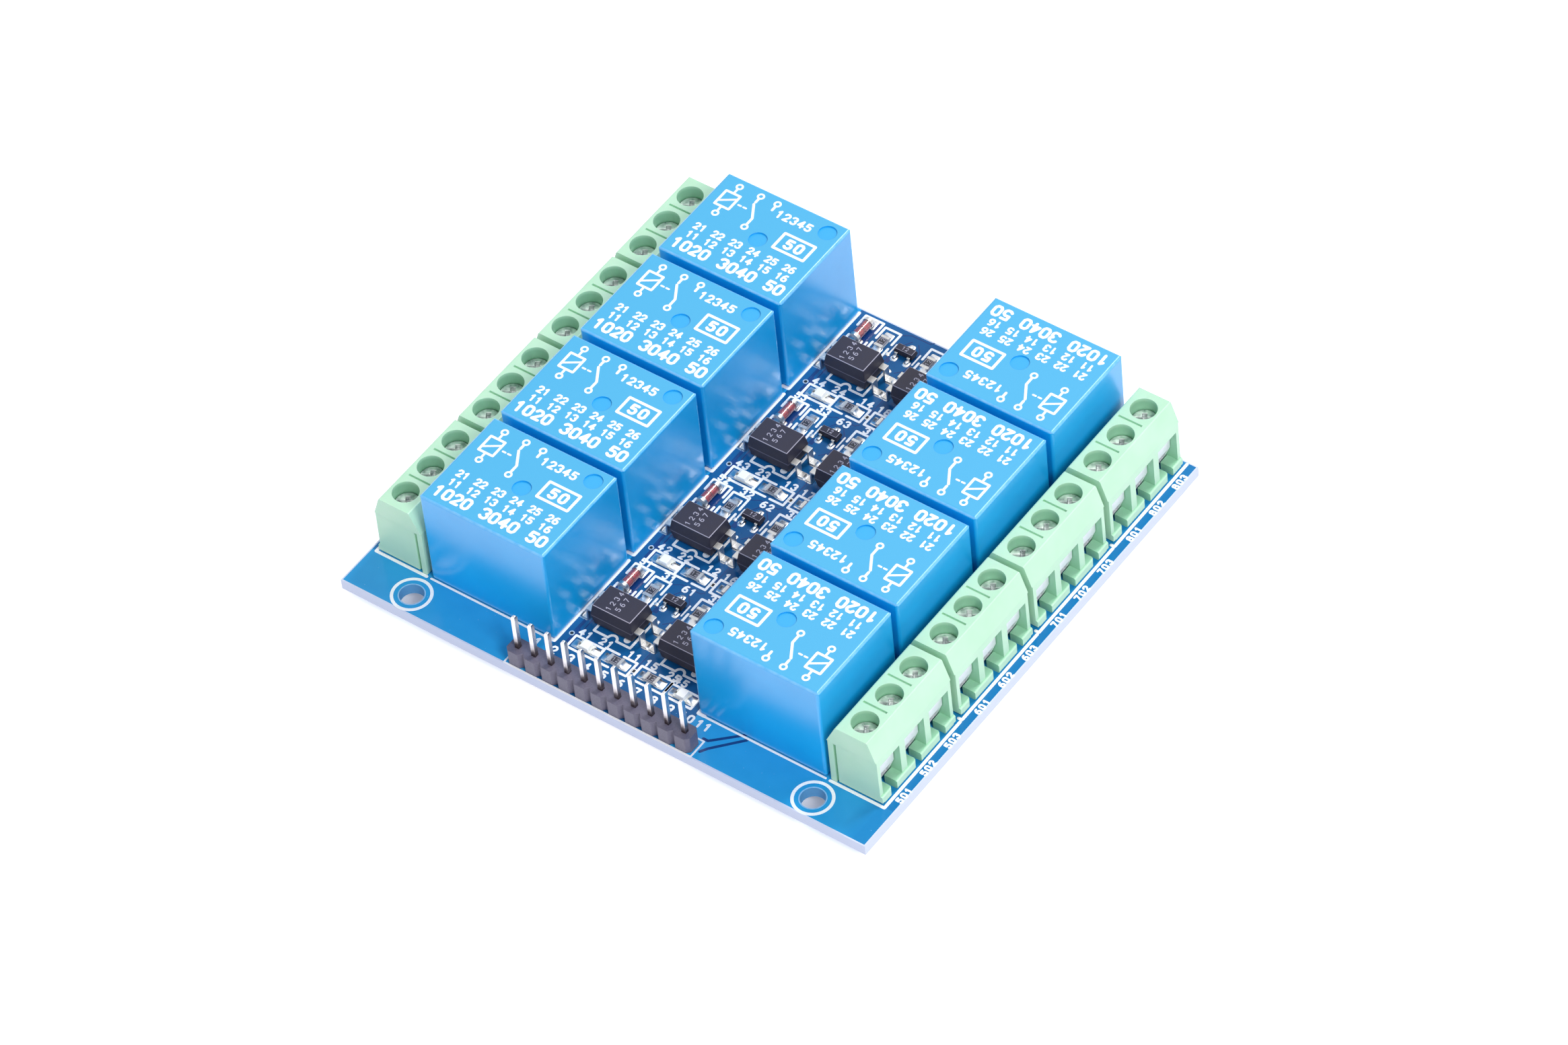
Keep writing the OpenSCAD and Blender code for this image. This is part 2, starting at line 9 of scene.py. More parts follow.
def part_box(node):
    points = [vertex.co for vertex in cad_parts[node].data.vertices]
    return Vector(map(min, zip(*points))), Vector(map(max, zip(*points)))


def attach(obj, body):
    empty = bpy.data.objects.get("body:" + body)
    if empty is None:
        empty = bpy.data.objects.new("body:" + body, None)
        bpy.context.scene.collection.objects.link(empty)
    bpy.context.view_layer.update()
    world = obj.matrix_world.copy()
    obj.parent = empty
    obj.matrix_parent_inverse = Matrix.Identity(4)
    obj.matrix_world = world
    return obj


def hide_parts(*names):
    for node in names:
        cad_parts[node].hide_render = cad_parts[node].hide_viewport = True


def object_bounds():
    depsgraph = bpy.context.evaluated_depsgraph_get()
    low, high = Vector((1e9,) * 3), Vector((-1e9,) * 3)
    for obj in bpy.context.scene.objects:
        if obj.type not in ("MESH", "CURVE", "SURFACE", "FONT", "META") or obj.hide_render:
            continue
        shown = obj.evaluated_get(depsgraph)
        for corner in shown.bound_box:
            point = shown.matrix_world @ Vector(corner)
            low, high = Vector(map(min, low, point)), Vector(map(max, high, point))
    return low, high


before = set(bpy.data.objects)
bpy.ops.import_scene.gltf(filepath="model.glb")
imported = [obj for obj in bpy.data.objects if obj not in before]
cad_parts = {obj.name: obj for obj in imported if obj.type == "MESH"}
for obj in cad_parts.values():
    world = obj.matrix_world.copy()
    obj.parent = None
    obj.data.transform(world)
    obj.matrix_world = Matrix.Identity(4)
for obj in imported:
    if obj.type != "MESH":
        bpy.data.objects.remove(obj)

cad_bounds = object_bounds()

# ---- Camera ----
# A long lens looks down on the front right corner from 48 degrees, tilted a little, so that the
# front edge falls away to the right.
board_low, board_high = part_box("board")
azimuth = math.radians(40.517)
elevation = math.radians(48.103)
roll = math.radians(6.392)
distance = 0.93215
aim = Vector((
    (board_low.x + board_high.x) / 2 + 0.00141,
    (board_low.y + board_high.y) / 2 + 0.00103,
    board_high.z
))
backwards = Vector((
    math.sin(azimuth) * math.cos(elevation),
    -math.cos(azimuth) * math.cos(elevation),
    math.sin(elevation)
))
level_right = Vector((math.cos(azimuth), math.sin(azimuth), 0))
level_up = backwards.cross(level_right)
right = level_right * math.cos(roll) - level_up * math.sin(roll)
up = level_up * math.cos(roll) + level_right * math.sin(roll)
turn = Matrix((right, up, backwards)).transposed().to_4x4()

camera_data = bpy.data.cameras.new("camera")
camera_data.sensor_width = 36
camera_data.lens = 172.075
camera_data.clip_start = 0.05
camera = bpy.data.objects.new("camera", camera_data)
camera.matrix_world = Matrix.Translation(aim + backwards * distance) @ turn
bpy.context.scene.collection.objects.link(camera)
bpy.context.scene.camera = camera
bpy.context.scene.view_settings.view_transform = "Standard"


# ---- Light ----
# A white tent gives an even glow from all round. One soft box hangs high behind, so that its light
# runs down the aisle between the relays. One at the right lights that side, and a weak one stands
# in front.

def linear(code):
    """A hex colour as written for a screen, turned to the linear values that light works in."""
    levels = [int(code[i:i + 2], 16) / 255 for i in (1, 3, 5)]
    return [v / 12.92 if v <= 0.04045 else ((v + 0.055) / 1.055) ** 2.4 for v in levels] + [1.0]


def add(tree, kind, inputs=None, stops=None, **settings):
    """Adds a shader node. An input that is a node, which stands for its first output in use, or
    one of its outputs becomes a link, and any other is set. Stops are those of a colour ramp."""
    node = tree.nodes.new("ShaderNode" + kind)
    for name, value in settings.items():
        setattr(node, name, value)
    for i, (position, code) in enumerate((stops or {}).items()):
        node.color_ramp.elements[i].position = position
        node.color_ramp.elements[i].color = linear(code)
    for name, value in (inputs or {}).items():
        if isinstance(value, bpy.types.Node):
            value = next(output for output in value.outputs if output.enabled)
        if isinstance(value, bpy.types.NodeSocket):
            tree.links.new(value, node.inputs[name])
        else:
            node.inputs[name].default_value = value
    return node


def joined(tree, operation, values):
    """Puts a list of values through one operation, two at a time, and gives the last result."""
    total = values[0]
    for value in values[1:]:
        total = add(tree, "Math", {0: total, 1: value}, operation=operation)
    return total


def seen_directly(tree):
    """One on rays from the eye, a gloss or clear glass, and nought on those that carry light."""
    ray = add(tree, "LightPath").outputs
    kinds = ("Camera", "Glossy", "Transmission")
    return joined(tree, "MAXIMUM", [ray[f"Is {kind} Ray"] for kind in kinds])


tent_strength = 0.55
world = bpy.data.worlds.new("white_tent")
bpy.context.scene.world = world
world.use_nodes = True
tree = world.node_tree
tree.nodes.clear()
glow = add(tree, "Background", {"Color": linear("#F4F6FF"), "Strength": tent_strength})
white = add(tree, "Background", {"Color": (1, 1, 1, 1), "Strength": 1.0})
either = add(tree, "MixShader", {0: seen_directly(tree), 1: glow, 2: white})
add(tree, "OutputWorld", {"Surface": either})


def soft_box(name, place, size, power):
    """A square area lamp, in metres and watts, that faces the board."""
    data = bpy.data.lights.new(name, "AREA")
    data.shape = "SQUARE"
    data.size = size
    data.energy = power
    lamp = bpy.data.objects.new(name, data)
    lamp.location = place
    lamp.rotation_euler = (Vector(place) - aim).to_track_quat("Z", "Y").to_euler()
    bpy.context.scene.collection.objects.link(lamp)


soft_box("back_box", (0.15, 0.60, 0.95), 0.28, 5.8)
soft_box("right_box", (0.80, -0.35, 0.85), 0.35, 7.0)
soft_box("front_box", (0.20, -1.1, 0.60), 0.5, 1.2)


# ---- Floor ----
# Matt white paper that the board stands on. Where the eye or a reflection meets it, it glows
# just enough to read as white. Below the board it glows less, as painted shade, and it still
# darkens where the board keeps light off it.
MM = 0.001


def start_material(name):
    """A new material with an empty node tree, and the tree."""
    material = bpy.data.materials.new(name)
    material.use_nodes = True
    material.node_tree.nodes.clear()
    return material, material.node_tree


def end_material(tree, shader):
    add(tree, "OutputMaterial", {"Surface": shader})


def off_middle(tree, value, middle):
    """How far a value is from a middle, to either side."""
    signed = add(tree, "Math", {0: value, 1: middle}, operation="SUBTRACT")
    return add(tree, "Math", {0: signed}, operation="ABSOLUTE")


open_glow, painted_shade_glow = 0.66, 0.22
paper, tree = start_material("matt_white_paper")
fibre = add(tree, "TexNoise", {"Scale": 900.0, "Detail": 3.0})
relief = add(tree, "Bump", {"Strength": 0.05, "Distance": 0.2 * MM, "Height": fibre})
matt = add(tree, "BsdfDiffuse", {"Color": linear("#ECECF2"), "Normal": relief})
spot = add(tree, "SeparateXYZ", {0: add(tree, "NewGeometry").outputs["Position"]})
rooms = []
for axis in range(2):
    middle = (cad_bounds[0][axis] + cad_bounds[1][axis]) / 2
    away = off_middle(tree, spot.outputs[axis], middle)
    rooms.append(add(tree, "Math", {0: cad_bounds[1][axis] - middle, 1: away}, operation="SUBTRACT"))
inset = joined(tree, "MINIMUM", rooms)
# Painted shade: from a few millimetres in under the board's edge, the glow falls to a lower level.
glow = add(tree, "MapRange", {"Value": inset, "From Min": 2 * MM, "From Max": 3.5 * MM,
                              "To Min": open_glow, "To Max": painted_shade_glow})
lift = add(tree, "Emission", {"Color": linear("#FCFBFF"), "Strength": glow})
no_lift = add(tree, "Emission", {"Strength": 0.0})
seen_lift = add(tree, "MixShader", {0: seen_directly(tree), 1: no_lift, 2: lift})
end_material(tree, add(tree, "AddShader", {0: matt, 1: seen_lift}))

floor_mesh = bpy.data.meshes.new("floor")
reach = 6.0
floor_mesh.from_pydata([(-reach, -reach, 0), (reach, -reach, 0), (reach, reach, 0), (-reach, reach, 0)],
                       [], [(0, 1, 2, 3)])
floor_mesh.materials.append(paper)
floor = bpy.data.objects.new("floor", floor_mesh)
floor.location.z = cad_bounds[0][2]
bpy.context.scene.collection.objects.link(floor)


# ---- Circuit board ----
# Glass-epoxy laminate, 1.6 mm thick and drilled, coated on both faces with glossy blue solder
# mask. The mask stops just short of the routed edge, where the pale laminate shows.
board_middle = (board_low + board_high) / 2
mask_margin = 0.2 * MM
painted_shade_width = 2.6 * MM
aisle_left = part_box("relay_1_cover")[1].x
aisle_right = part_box("relay_5_cover")[0].x
aisle_x = (aisle_left + aisle_right) / 2
housing_low, housing_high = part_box("terminal_5_housing")


def dress(node, material):
    """Gives a CAD node its finish."""
    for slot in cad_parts[node].material_slots:
        slot.material = material


# Solder mask is a cured ink: a smooth, slightly uneven gloss. Over the broad areas of copper
# round the edge it looks light. In the aisle, cut up by tracks, it is coloured deeper: partly the
# ink over less copper, partly painted shade between the tall relays. The routed edge is matt, and a
# little ink has run down into the holes.
mask, tree = start_material("glossy_solder_mask_on_laminate")
place = add(tree, "TexCoord").outputs["Object"]
spot = add(tree, "SeparateXYZ", {0: place})
facing = add(tree, "SeparateXYZ", {0: add(tree, "NewGeometry").outputs["Normal"]})
level = add(tree, "Math", {0: facing.outputs["Z"]}, operation="ABSOLUTE")
level = add(tree, "Math", {0: level, 1: 0.5}, operation="GREATER_THAN")
inside = []
for axis in range(2):
    away = off_middle(tree, spot.outputs[axis], board_middle[axis])
    reach = board_high[axis] - board_middle[axis] - mask_margin
    inside.append(add(tree, "Math", {0: away, 1: reach}, operation="LESS_THAN"))
within = joined(tree, "MULTIPLY", inside)
covered = joined(tree, "MULTIPLY", [level, within])
clouds = add(tree, "TexNoise", {"Vector": place, "Scale": 1 / (6 * MM)})
tone = add(tree, "ValToRGB", {"Fac": clouds}, stops={0.35: "#2898D4", 0.7: "#2EA0DC"})
# The aisle's deeper blue is partly painted shade from the relays on either side.
aisle_tone_and_painted_shade = add(tree, "ValToRGB", {"Fac": clouds}, stops={0.35: "#12578E", 0.7: "#19639D"})
from_aisle = off_middle(tree, spot.outputs["X"], aisle_x)
in_aisle = add(tree, "Math", {0: from_aisle, 1: (aisle_right - aisle_left) / 2}, operation="LESS_THAN")
blue = add(tree, "Mix", {"Factor": in_aisle, "A": tone, "B": aisle_tone_and_painted_shade}, data_type="RGBA")

# Outside the terminals along both sides there is no copper, and the ink is deeper; this tone is
# also painted shade. Towards the right edge, front corner included, it fades in as painted shade.
past_wires = add(tree, "Math", {0: from_aisle, 1: housing_high.x - aisle_x + 0.1 * MM},
                 operation="GREATER_THAN")
beside_housings = add(tree, "Math", {0: spot.outputs["Y"], 1: housing_low.y}, operation="GREATER_THAN")
in_margin = joined(tree, "MULTIPLY", [past_wires, beside_housings])
# Painted shade along the right edge, fading in over a few millimetres.
right_edge_painted_shade = add(tree, "MapRange", {"Value": spot.outputs["X"], "From Min": housing_high.x - painted_shade_width,
                                   "From Max": housing_high.x, "To Max": 0.7})
in_margin = joined(tree, "MAXIMUM", [in_margin, right_edge_painted_shade])
blue = add(tree, "Mix", {"Factor": in_margin, "A": blue, "B": linear("#1474B2")}, data_type="RGBA")

# A few pale specks of dust were caught in the ink before it set.
specks = add(tree, "TexVoronoi", {"Vector": place, "Scale": 1 / (1.1 * MM)})
speck = add(tree, "Math", {0: specks, 1: 0.045}, operation="LESS_THAN")
dusty = add(tree, "Mix", {"Factor": speck, "A": blue, "B": linear("#6FB0E0")}, data_type="RGBA")
bare_edge = add(tree, "Mix", {"Factor": within, "A": linear("#D0D8EC"), "B": linear("#5F9FCE")},
                data_type="RGBA")
skin = add(tree, "Mix", {"Factor": covered, "A": bare_edge, "B": dusty}, data_type="RGBA")
shine = add(tree, "MapRange", {"Value": covered, "To Min": 0.55, "To Max": 0.17})
ripple = add(tree, "TexNoise", {"Vector": place, "Scale": 1 / (0.6 * MM)})
relief = add(tree, "Bump", {"Height": ripple, "Strength": 0.12, "Distance": 0.02 * MM})
end_material(tree, add(tree, "BsdfPrincipled", {
    "Base Color": skin, "Roughness": shine, "Normal": relief, "IOR": 1.52,
    "Specular IOR Level": 0.25}))
dress("board", mask)


# ---- Copper under the mask ----
# Etched copper tracks show through the ink as lighter paths, and the gaps between two areas of
# copper show as thin dark lines. Copper is 35 microns thick, but on the top it is drawn as less,
# so that the white ink printed across it stays uppermost.
copper_t = 0.035
top_track_t = 0.0065
gap_line_t = 0.006
bare_area_t = 0.004


def at(x, y, z, degrees=0.0):
    """Maps millimetres on a face to metres in the frame, from a place and a turn about Z."""
    return (Matrix.Translation((x, y, z)) @ Matrix.Rotation(math.radians(degrees), 4, "Z")
            @ Matrix.Scale(MM, 4))


def arc(x, y, radius, first, last, steps=12):
    """Points on an arc, with angles in degrees."""
    angles = (math.radians(first + (last - first) * i / steps) for i in range(steps + 1))
    return [(x + radius * math.cos(a), y + radius * math.sin(a)) for a in angles]


# Where lines cross, each lies a micron above the last, so that no two share a face.
lifts = itertools.cycle(0.001 * i for i in range(17))


def bridge(bm, loops):
    """Faces from each closed loop of points to the next."""
    for first, second in zip(loops, loops[1:]):
        for i in range(len(first)):
            j = (i + 1) % len(first)
            bm.faces.new((first[i], first[j], second[j], second[i]))


def plate(bm, frame_at, points, thick, low=0.0):
    """A flat plate with the given outline."""
    top = [bm.verts.new(frame_at @ Vector((x, y, low + thick))) for x, y in points]
    base = [bm.verts.new(frame_at @ Vector((x, y, low))) for x, y in points]
    bm.faces.new(top)
    bm.faces.new(base[::-1])
    for i in range(len(points)):
        j = (i + 1) % len(points)
        bm.faces.new((top[i], base[i], base[j], top[j]))


def stroke(bm, frame_at, points, width, thick, closed=False, low=0.0):
    """A line of even width, laid as straight lengths with round ends."""
    knots = list(points) + list(points[:1] if closed else [])
    for (x0, y0), (x1, y1) in zip(knots, knots[1:]):
        if math.hypot(x1 - x0, y1 - y0) > 1e-6:
            ahead = math.degrees(math.atan2(y1 - y0, x1 - x0))
            lift = next(lifts)
            plate(bm, frame_at, arc(x0, y0, width / 2, ahead + 90, ahead + 270, 4)
                  + arc(x1, y1, width / 2, ahead - 90, ahead + 90, 4), thick + 2 * lift, low - lift)


def circle(x, y, radius, count=24):
    """Points round a whole circle."""
    return arc(x, y, radius, 0, 360 - 360 / count, count - 1)


def ring(bm, frame_at, x, y, radius, width, thick, low=0.0, count=24):
    """A flat ring about a place."""
    lift = next(lifts)
    profile = ((0.5, 0), (0.5, thick + lift), (-0.5, thick + lift), (-0.5, 0))
    loops = [[bm.verts.new(frame_at @ Vector((px, py, low + z)))
              for px, py in circle(x, y, radius + side * width, count)] for side, z in profile]
    bridge(bm, loops + loops[:1])


def add_piece(name, bm, material, smooth=None):
    """Turns a mesh into a piece that rides on the board, smooth below an angle if one is given."""
    bmesh.ops.recalc_face_normals(bm, faces=bm.faces)
    mesh = bpy.data.meshes.new(name)
    bm.to_mesh(mesh)
    bm.free()
    mesh.materials.append(material)
    if smooth is not None:
        mesh.shade_smooth()
        mesh.set_sharp_from_angle(angle=math.radians(smooth))
    piece = bpy.data.objects.new(name, mesh)
    bpy.context.scene.collection.objects.link(piece)
    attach(piece, "root")


def solids(node):
    """The box of each separate solid in a CAD node, as pairs of corners, left column first and
    each column from the front."""
    bm = bmesh.new()
    bm.from_mesh(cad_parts[node].data)
    bmesh.ops.remove_doubles(bm, verts=bm.verts, dist=1e-7)
    left_over = set(bm.verts)
    boxes = []
    while left_over:
        reached = [left_over.pop()]
        for vert in reached:
            for edge in vert.link_edges:
                other = edge.other_vert(vert)
                if other in left_over:
                    left_over.remove(other)
                    reached.append(other)
        boxes.append(tuple(
            Vector(pick(v.co[k] for v in reached) for k in range(3)) for pick in (min, max)
        ))
    bm.free()
    return sorted(boxes, key=lambda b: (b[0].x + b[1].x > 2 * aisle_x, round(b[0].y / MM), b[0].x))


def middle_of(box):
    return (box[0] + box[1]) / 2


board_top = board_high.z
covers = {channel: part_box(f"relay_{channel}_cover") for channel in range(1, 9)}
housings = {channel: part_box(f"terminal_{channel}_housing") for channel in range(1, 9)}
row_y = {channel: middle_of(covers[channel]).y for channel in covers}
rows = [at(aisle_x, row_y[channel], board_top) for channel in range(1, 5)]

gap_lines = bmesh.new()
top_tracks = bmesh.new()
for here in rows:
    for points in (
        [(-4.2, 7.2), (-3.0, 7.9), (-0.2, 7.9), (0.2, 8.3)],
        [(-3.0, 5.9), (-2.3, 7.0)],
        [(-1.3, 7.0), (-0.3, 5.8), (-0.3, 2.3), (-1.2, 1.4)],
        [(0.3, -6.6), (0.3, -3.2), (-0.4, -2.5)],
        [(-9.9, 1.6), (-9.9, -5.2), (-9.4, -5.7)],
        [(6.9, 3.0), (7.4, 2.4), (9.9, 2.4)],
    ):
        stroke(gap_lines, here, points, 0.13, gap_line_t)
    for points in (
        [(-8.0, 3.6), (-8.0, 2.4), (-9.3, 1.2), (-9.3, -4.4), (-8.6, -5.1)],
        [(-1.95, 1.3), (-1.95, 2.4), (-2.7, 3.1)],
        [(-3.8, 3.65), (-3.8, 1.7), (-1.2, 0.4)],
        [(-0.9, -2.5), (-0.05, -3.3), (-0.05, -5.3)],
        [(6.4, 3.1), (8.6, 1.2), (8.6, -2.2)],
        [(5.5, 6.4), (6.6, 7.4), (8.4, 7.4)],
    ):
        stroke(top_tracks, here, points, 0.4, top_track_t)
    for area in (
        [(-9.8, -7.4), (-8.9, -7.4), (-8.9, 1.4), (-6.4, 1.8), (-6.4, 3.2), (-7.2, 4.2), (-7.2, 7.3),
         (-9.8, 7.3)],
        [(9.8, 7.3), (7.2, 7.3), (7.2, 3.2), (9.0, 2.6), (9.0, -7.4), (9.8, -7.4)],
        [(-4.9, 2.4), (-2.9, 2.4), (-2.9, 3.4), (-4.9, 3.4)],
    ):
        plate(gap_lines, here, area, bare_area_t)
front_left = at(board_low.x, board_low.y, board_top)
for points in (
    [(53.6, 3.3), (54.3, 3.3), (57.75, 6.6)],
    [(54.45, 1.4), (55.0, 2.3), (58.25, 5.9)],
):
    stroke(gap_lines, front_left, points, 0.4, gap_line_t)


def mottled(name, size, stops, inputs, detail=2.0, bump=None):
    """A material whose colour drifts in patches of about a size in millimetres. Where bump is
    given, as a strength and a depth in millimetres, its relief has the same patches."""
    material, tree = start_material(name)
    place = add(tree, "TexCoord").outputs["Object"]
    noise = add(tree, "TexNoise", {"Vector": place, "Scale": 1 / (size * MM), "Detail": detail})
    inputs = {"Base Color": add(tree, "ValToRGB", {"Fac": noise}, stops=stops), **inputs}
    if bump:
        strength, depth = bump
        inputs["Normal"] = add(tree, "Bump", {"Height": noise, "Strength": strength,
                                              "Distance": depth * MM})
    end_material(tree, add(tree, "BsdfPrincipled", inputs))
    return material


# Where there is no copper below it, the ink looks darker.
bare_mask = mottled("solder_mask_over_bare_laminate", 2, {0: "#0B3573", 1: "#0F4180"},
                    {"Roughness": 0.2, "IOR": 1.52})
add_piece("gaps_in_copper", gap_lines, bare_mask)
add_piece("tracks_on_top", top_tracks, mask)

# Underneath, each relay's three contacts run to its terminal in wide tracks, and its coil to
# the aisle in narrow ones.
wide_track, narrow_track = 2.2, 0.8
bottom_tracks = bmesh.new()
under = at(0, 0, board_low.z)
pins = [middle_of(box) for box in solids("relay_pins")]
tails = [middle_of(box) for box in solids("terminal_pins")]


def standing_in(box, places):
    """Those of the places that are over a part's outline."""
    return [p for p in places if box[0].x < p.x < box[1].x and box[0].y < p.y < box[1].y]


for channel in covers:
    side = -1 if channel < 5 else 1
    own_pins = sorted(standing_in(covers[channel], pins), key=lambda p: side * p.x)
    common, contacts = own_pins[0], sorted(own_pins[-2:], key=lambda p: p.y)
    poles = sorted(standing_in(housings[channel], tails), key=lambda p: p.y)
    for pin, pole in ((contacts[0], poles[0]), (common, poles[1]), (contacts[1], poles[2])):
        knee = Vector((pole.x - side * 2.6 * MM, pole.y, 0))
        points = [(p.x / MM, p.y / MM) for p in (pin, knee, pole)]
        stroke(bottom_tracks, under, points, wide_track, copper_t, low=-copper_t)
    for coil in own_pins[1:3]:
        x, y = coil.x / MM, coil.y / MM
        stroke(bottom_tracks, under, [(x, y), (x - side * 3.2, y), (aisle_x / MM + side * 8.5, y)],
               narrow_track, copper_t, low=-copper_t)
add_piece("tracks_underneath", bottom_tracks, mask)


# ---- Pads, vias and solder ----
# Bare copper is coated with tin solder: flat pads, rings round the holes, and small concave
# fillets that climb the end of each part.

def mound(bm, frame_at, x, y, length, width, height, corner=4.0, low=0.0, rings=5, count=20):
    """A low cushion of solder on a pad with rounded corners."""
    loops = []
    for step in range(rings + 1):
        t = 1 - step / (rings + 0.6)
        z = height * (1 - t ** 3) ** 0.6
        loop = []
        for i in range(count):
            a = 2 * math.pi * i / count
            c, s = math.cos(a), math.sin(a)
            px = math.copysign(abs(c) ** (2 / corner), c) * length / 2 * t
            py = math.copysign(abs(s) ** (2 / corner), s) * width / 2 * t
            loop.append(bm.verts.new(frame_at @ Vector((x + px, y + py, low + z))))
        loops.append(loop)
    bridge(bm, loops)
    bm.faces.new(loops[-1])
    bm.faces.new(loops[0][::-1])


def fillet(bm, frame_at, length, width, height, low=0.0):
    """Solder that climbs a wall at x = 0 and runs out to x = length, thicker in the middle."""
    along, across = 7, 7
    grid = []
    for i in range(along + 1):
        u = i / along
        line = []
        for j in range(across + 1):
            v = 2 * j / across - 1
            taper = 1 - 0.18 * u * u
            rise = height * (1 - u) ** 2.1 * (1 - 0.35 * v ** 4) + 0.07 * (1 - u ** 4) * (1 - v ** 4)
            point = Vector((u * length, v * width / 2 * taper, low + rise))
            line.append(bm.verts.new(frame_at @ point))
        grid.append(line)
    for i in range(along):
        for j in range(across):
            bm.faces.new((grid[i][j], grid[i + 1][j], grid[i + 1][j + 1], grid[i][j + 1]))
    rim = ([grid[i][0] for i in range(along + 1)] + [grid[along][j] for j in range(1, across + 1)]
           + [grid[i][across] for i in range(along - 1, -1, -1)]
           + [grid[0][j] for j in range(across - 1, 0, -1)])
    ground = []
    for vert in rim:
        local = frame_at.inverted() @ vert.co
        ground.append(bm.verts.new(frame_at @ Vector((local.x, local.y, low - 0.02))))
    for i in range(len(rim)):
        j = (i + 1) % len(rim)
        bm.faces.new((rim[j], rim[i], ground[i], ground[j]))
    bm.faces.new(ground)


# Reflowed tin solder: nearly a mirror, softened by fine ripples from cooling.
solder = mottled("reflowed_tin_solder", 0.25, {0: "#CFD1D6", 1: "#F4F5F6"},
                 {"Metallic": 1.0, "Roughness": 0.3}, detail=3.0, bump=(0.15, 0.03))
dress("solder_joints", solder)

pads = bmesh.new()
joints = bmesh.new()
over_board = at(0, 0, board_top)
pad_t = 0.06
fillet_low = 0.04
ring_t = 0.03
bore_t = 0.0232
vias = ((0.3, -6.6, 0.32), (-9.9, -5.7, 0.3))


def nearest(box, others):
    """The one of the other boxes whose middle is nearest."""
    return min(others, key=lambda other: (middle_of(other) - middle_of(box)).length)


def two_ends(box):
    """Yields, for each end of a part's box along its longer side, a map whose X points away from
    the part, starting at that end."""
    size = box[1] - box[0]
    middle = middle_of(box)
    if size.x > size.y:
        yield at(box[1].x, middle.y, board_top, 0)
        yield at(box[0].x, middle.y, board_top, 180)
    else:
        yield at(middle.x, box[1].y, board_top, 90)
        yield at(middle.x, box[0].y, board_top, 270)


resistors = solids("resistor_bodies")
cap_t = 0.05
for box in resistors:
    for end in two_ends(box):
        mound(pads, end, 0.35, 0, 1.3, 1.35, pad_t, corner=9)
        fillet(joints, end @ Matrix.Translation((cap_t, 0, 0)), 0.85, 1.15, 0.42, low=fillet_low)
lights = solids("led_bases")
for box in lights:
    for end in two_ends(box):
        mound(pads, end, 0.3, 0, 1.4, 1.35, pad_t, corner=9)
        fillet(joints, end, 0.8, 1.0, 0.34, low=fillet_low)
diodes = solids("diode_tubes")
for box in solids("diode_caps"):
    cap = middle_of(box)
    behind = any(abs(box[0].y - tube[1].y) < 0.1 * MM and abs(cap.x - middle_of(tube).x) < MM
                 for tube in diodes)
    end = at(cap.x, box[1].y if behind else box[0].y, board_top, 90 if behind else 270)
    mound(pads, end, 0.25, 0, 1.7, 1.7, pad_t, corner=9)
    fillet(joints, end, 0.8, 1.3, 0.75, low=fillet_low)
transistors = solids("transistor_bodies")
for box in solids("transistor_leads"):
    foot = middle_of(box)
    ahead = foot.y < nearest(box, transistors)[0].y
    end = at(foot.x, box[0].y if ahead else box[1].y, board_top, 270 if ahead else 90)
    mound(pads, end, 0.05, 0, 1.15, 0.95, 0.1, corner=3)
    mound(joints, end, -0.05, 0, 0.8, 0.62, 0.3, corner=2.4, low=fillet_low)
optos = solids("optocoupler_bodies")
for box in solids("optocoupler_leads"):
    foot = middle_of(box)
    left = foot.x < nearest(box, optos)[0].x
    end = at(box[0].x if left else box[1].x, foot.y, board_top, 180 if left else 0)
    mound(pads, end, -0.15, 0, 1.4, 1.25, 0.05, corner=9)
    fillet(joints, end @ Matrix.Translation((-0.05, 0, 0)), 0.45, 1.0, 0.26, low=fillet_low)
for here in rows:
    for x, y in ((-8.0, 3.6), (-3.8, 3.65), (6.4, 3.1), (-1.95, 1.3), (9.9, 2.4)):
        mound(pads, here, x, y, 0.75, 0.75, 0.16, corner=2)
    for x, y, radius in vias:
        ring(pads, here, x, y, radius, 0.16, ring_t)
for box in solids("solder_joints"):
    centre = middle_of(box) / MM
    radius = (box[1].x - box[0].x) / 2 / MM + 0.05
    ring(pads, under, centre.x, centre.y, radius, 0.5, copper_t, low=-copper_t)
add_piece("tinned_pads", pads, solder, smooth=40)
add_piece("solder_fillets", joints, solder, smooth=50)

# A via's bore is left open. It is too narrow for light to reach its wall, so it looks black.
via_hole, tree = start_material("open_via_barrel")
end_material(tree, add(tree, "BsdfPrincipled", {"Base Color": linear("#10151F"), "Roughness": 0.5}))
holes = bmesh.new()
for here in rows:
    for x, y, radius in vias:
        plate(holes, here, circle(x, y, 0.25, 12), bore_t)
add_piece("open_vias", holes, via_hole)


# ---- Printed lines ----
# White epoxy ink, screen printed on the mask: an outline and a number for each part, rings
# round the screw holes and a number behind each header pin.
ink_t = 0.024
line_w = 0.34
pole_pitch = 5.08

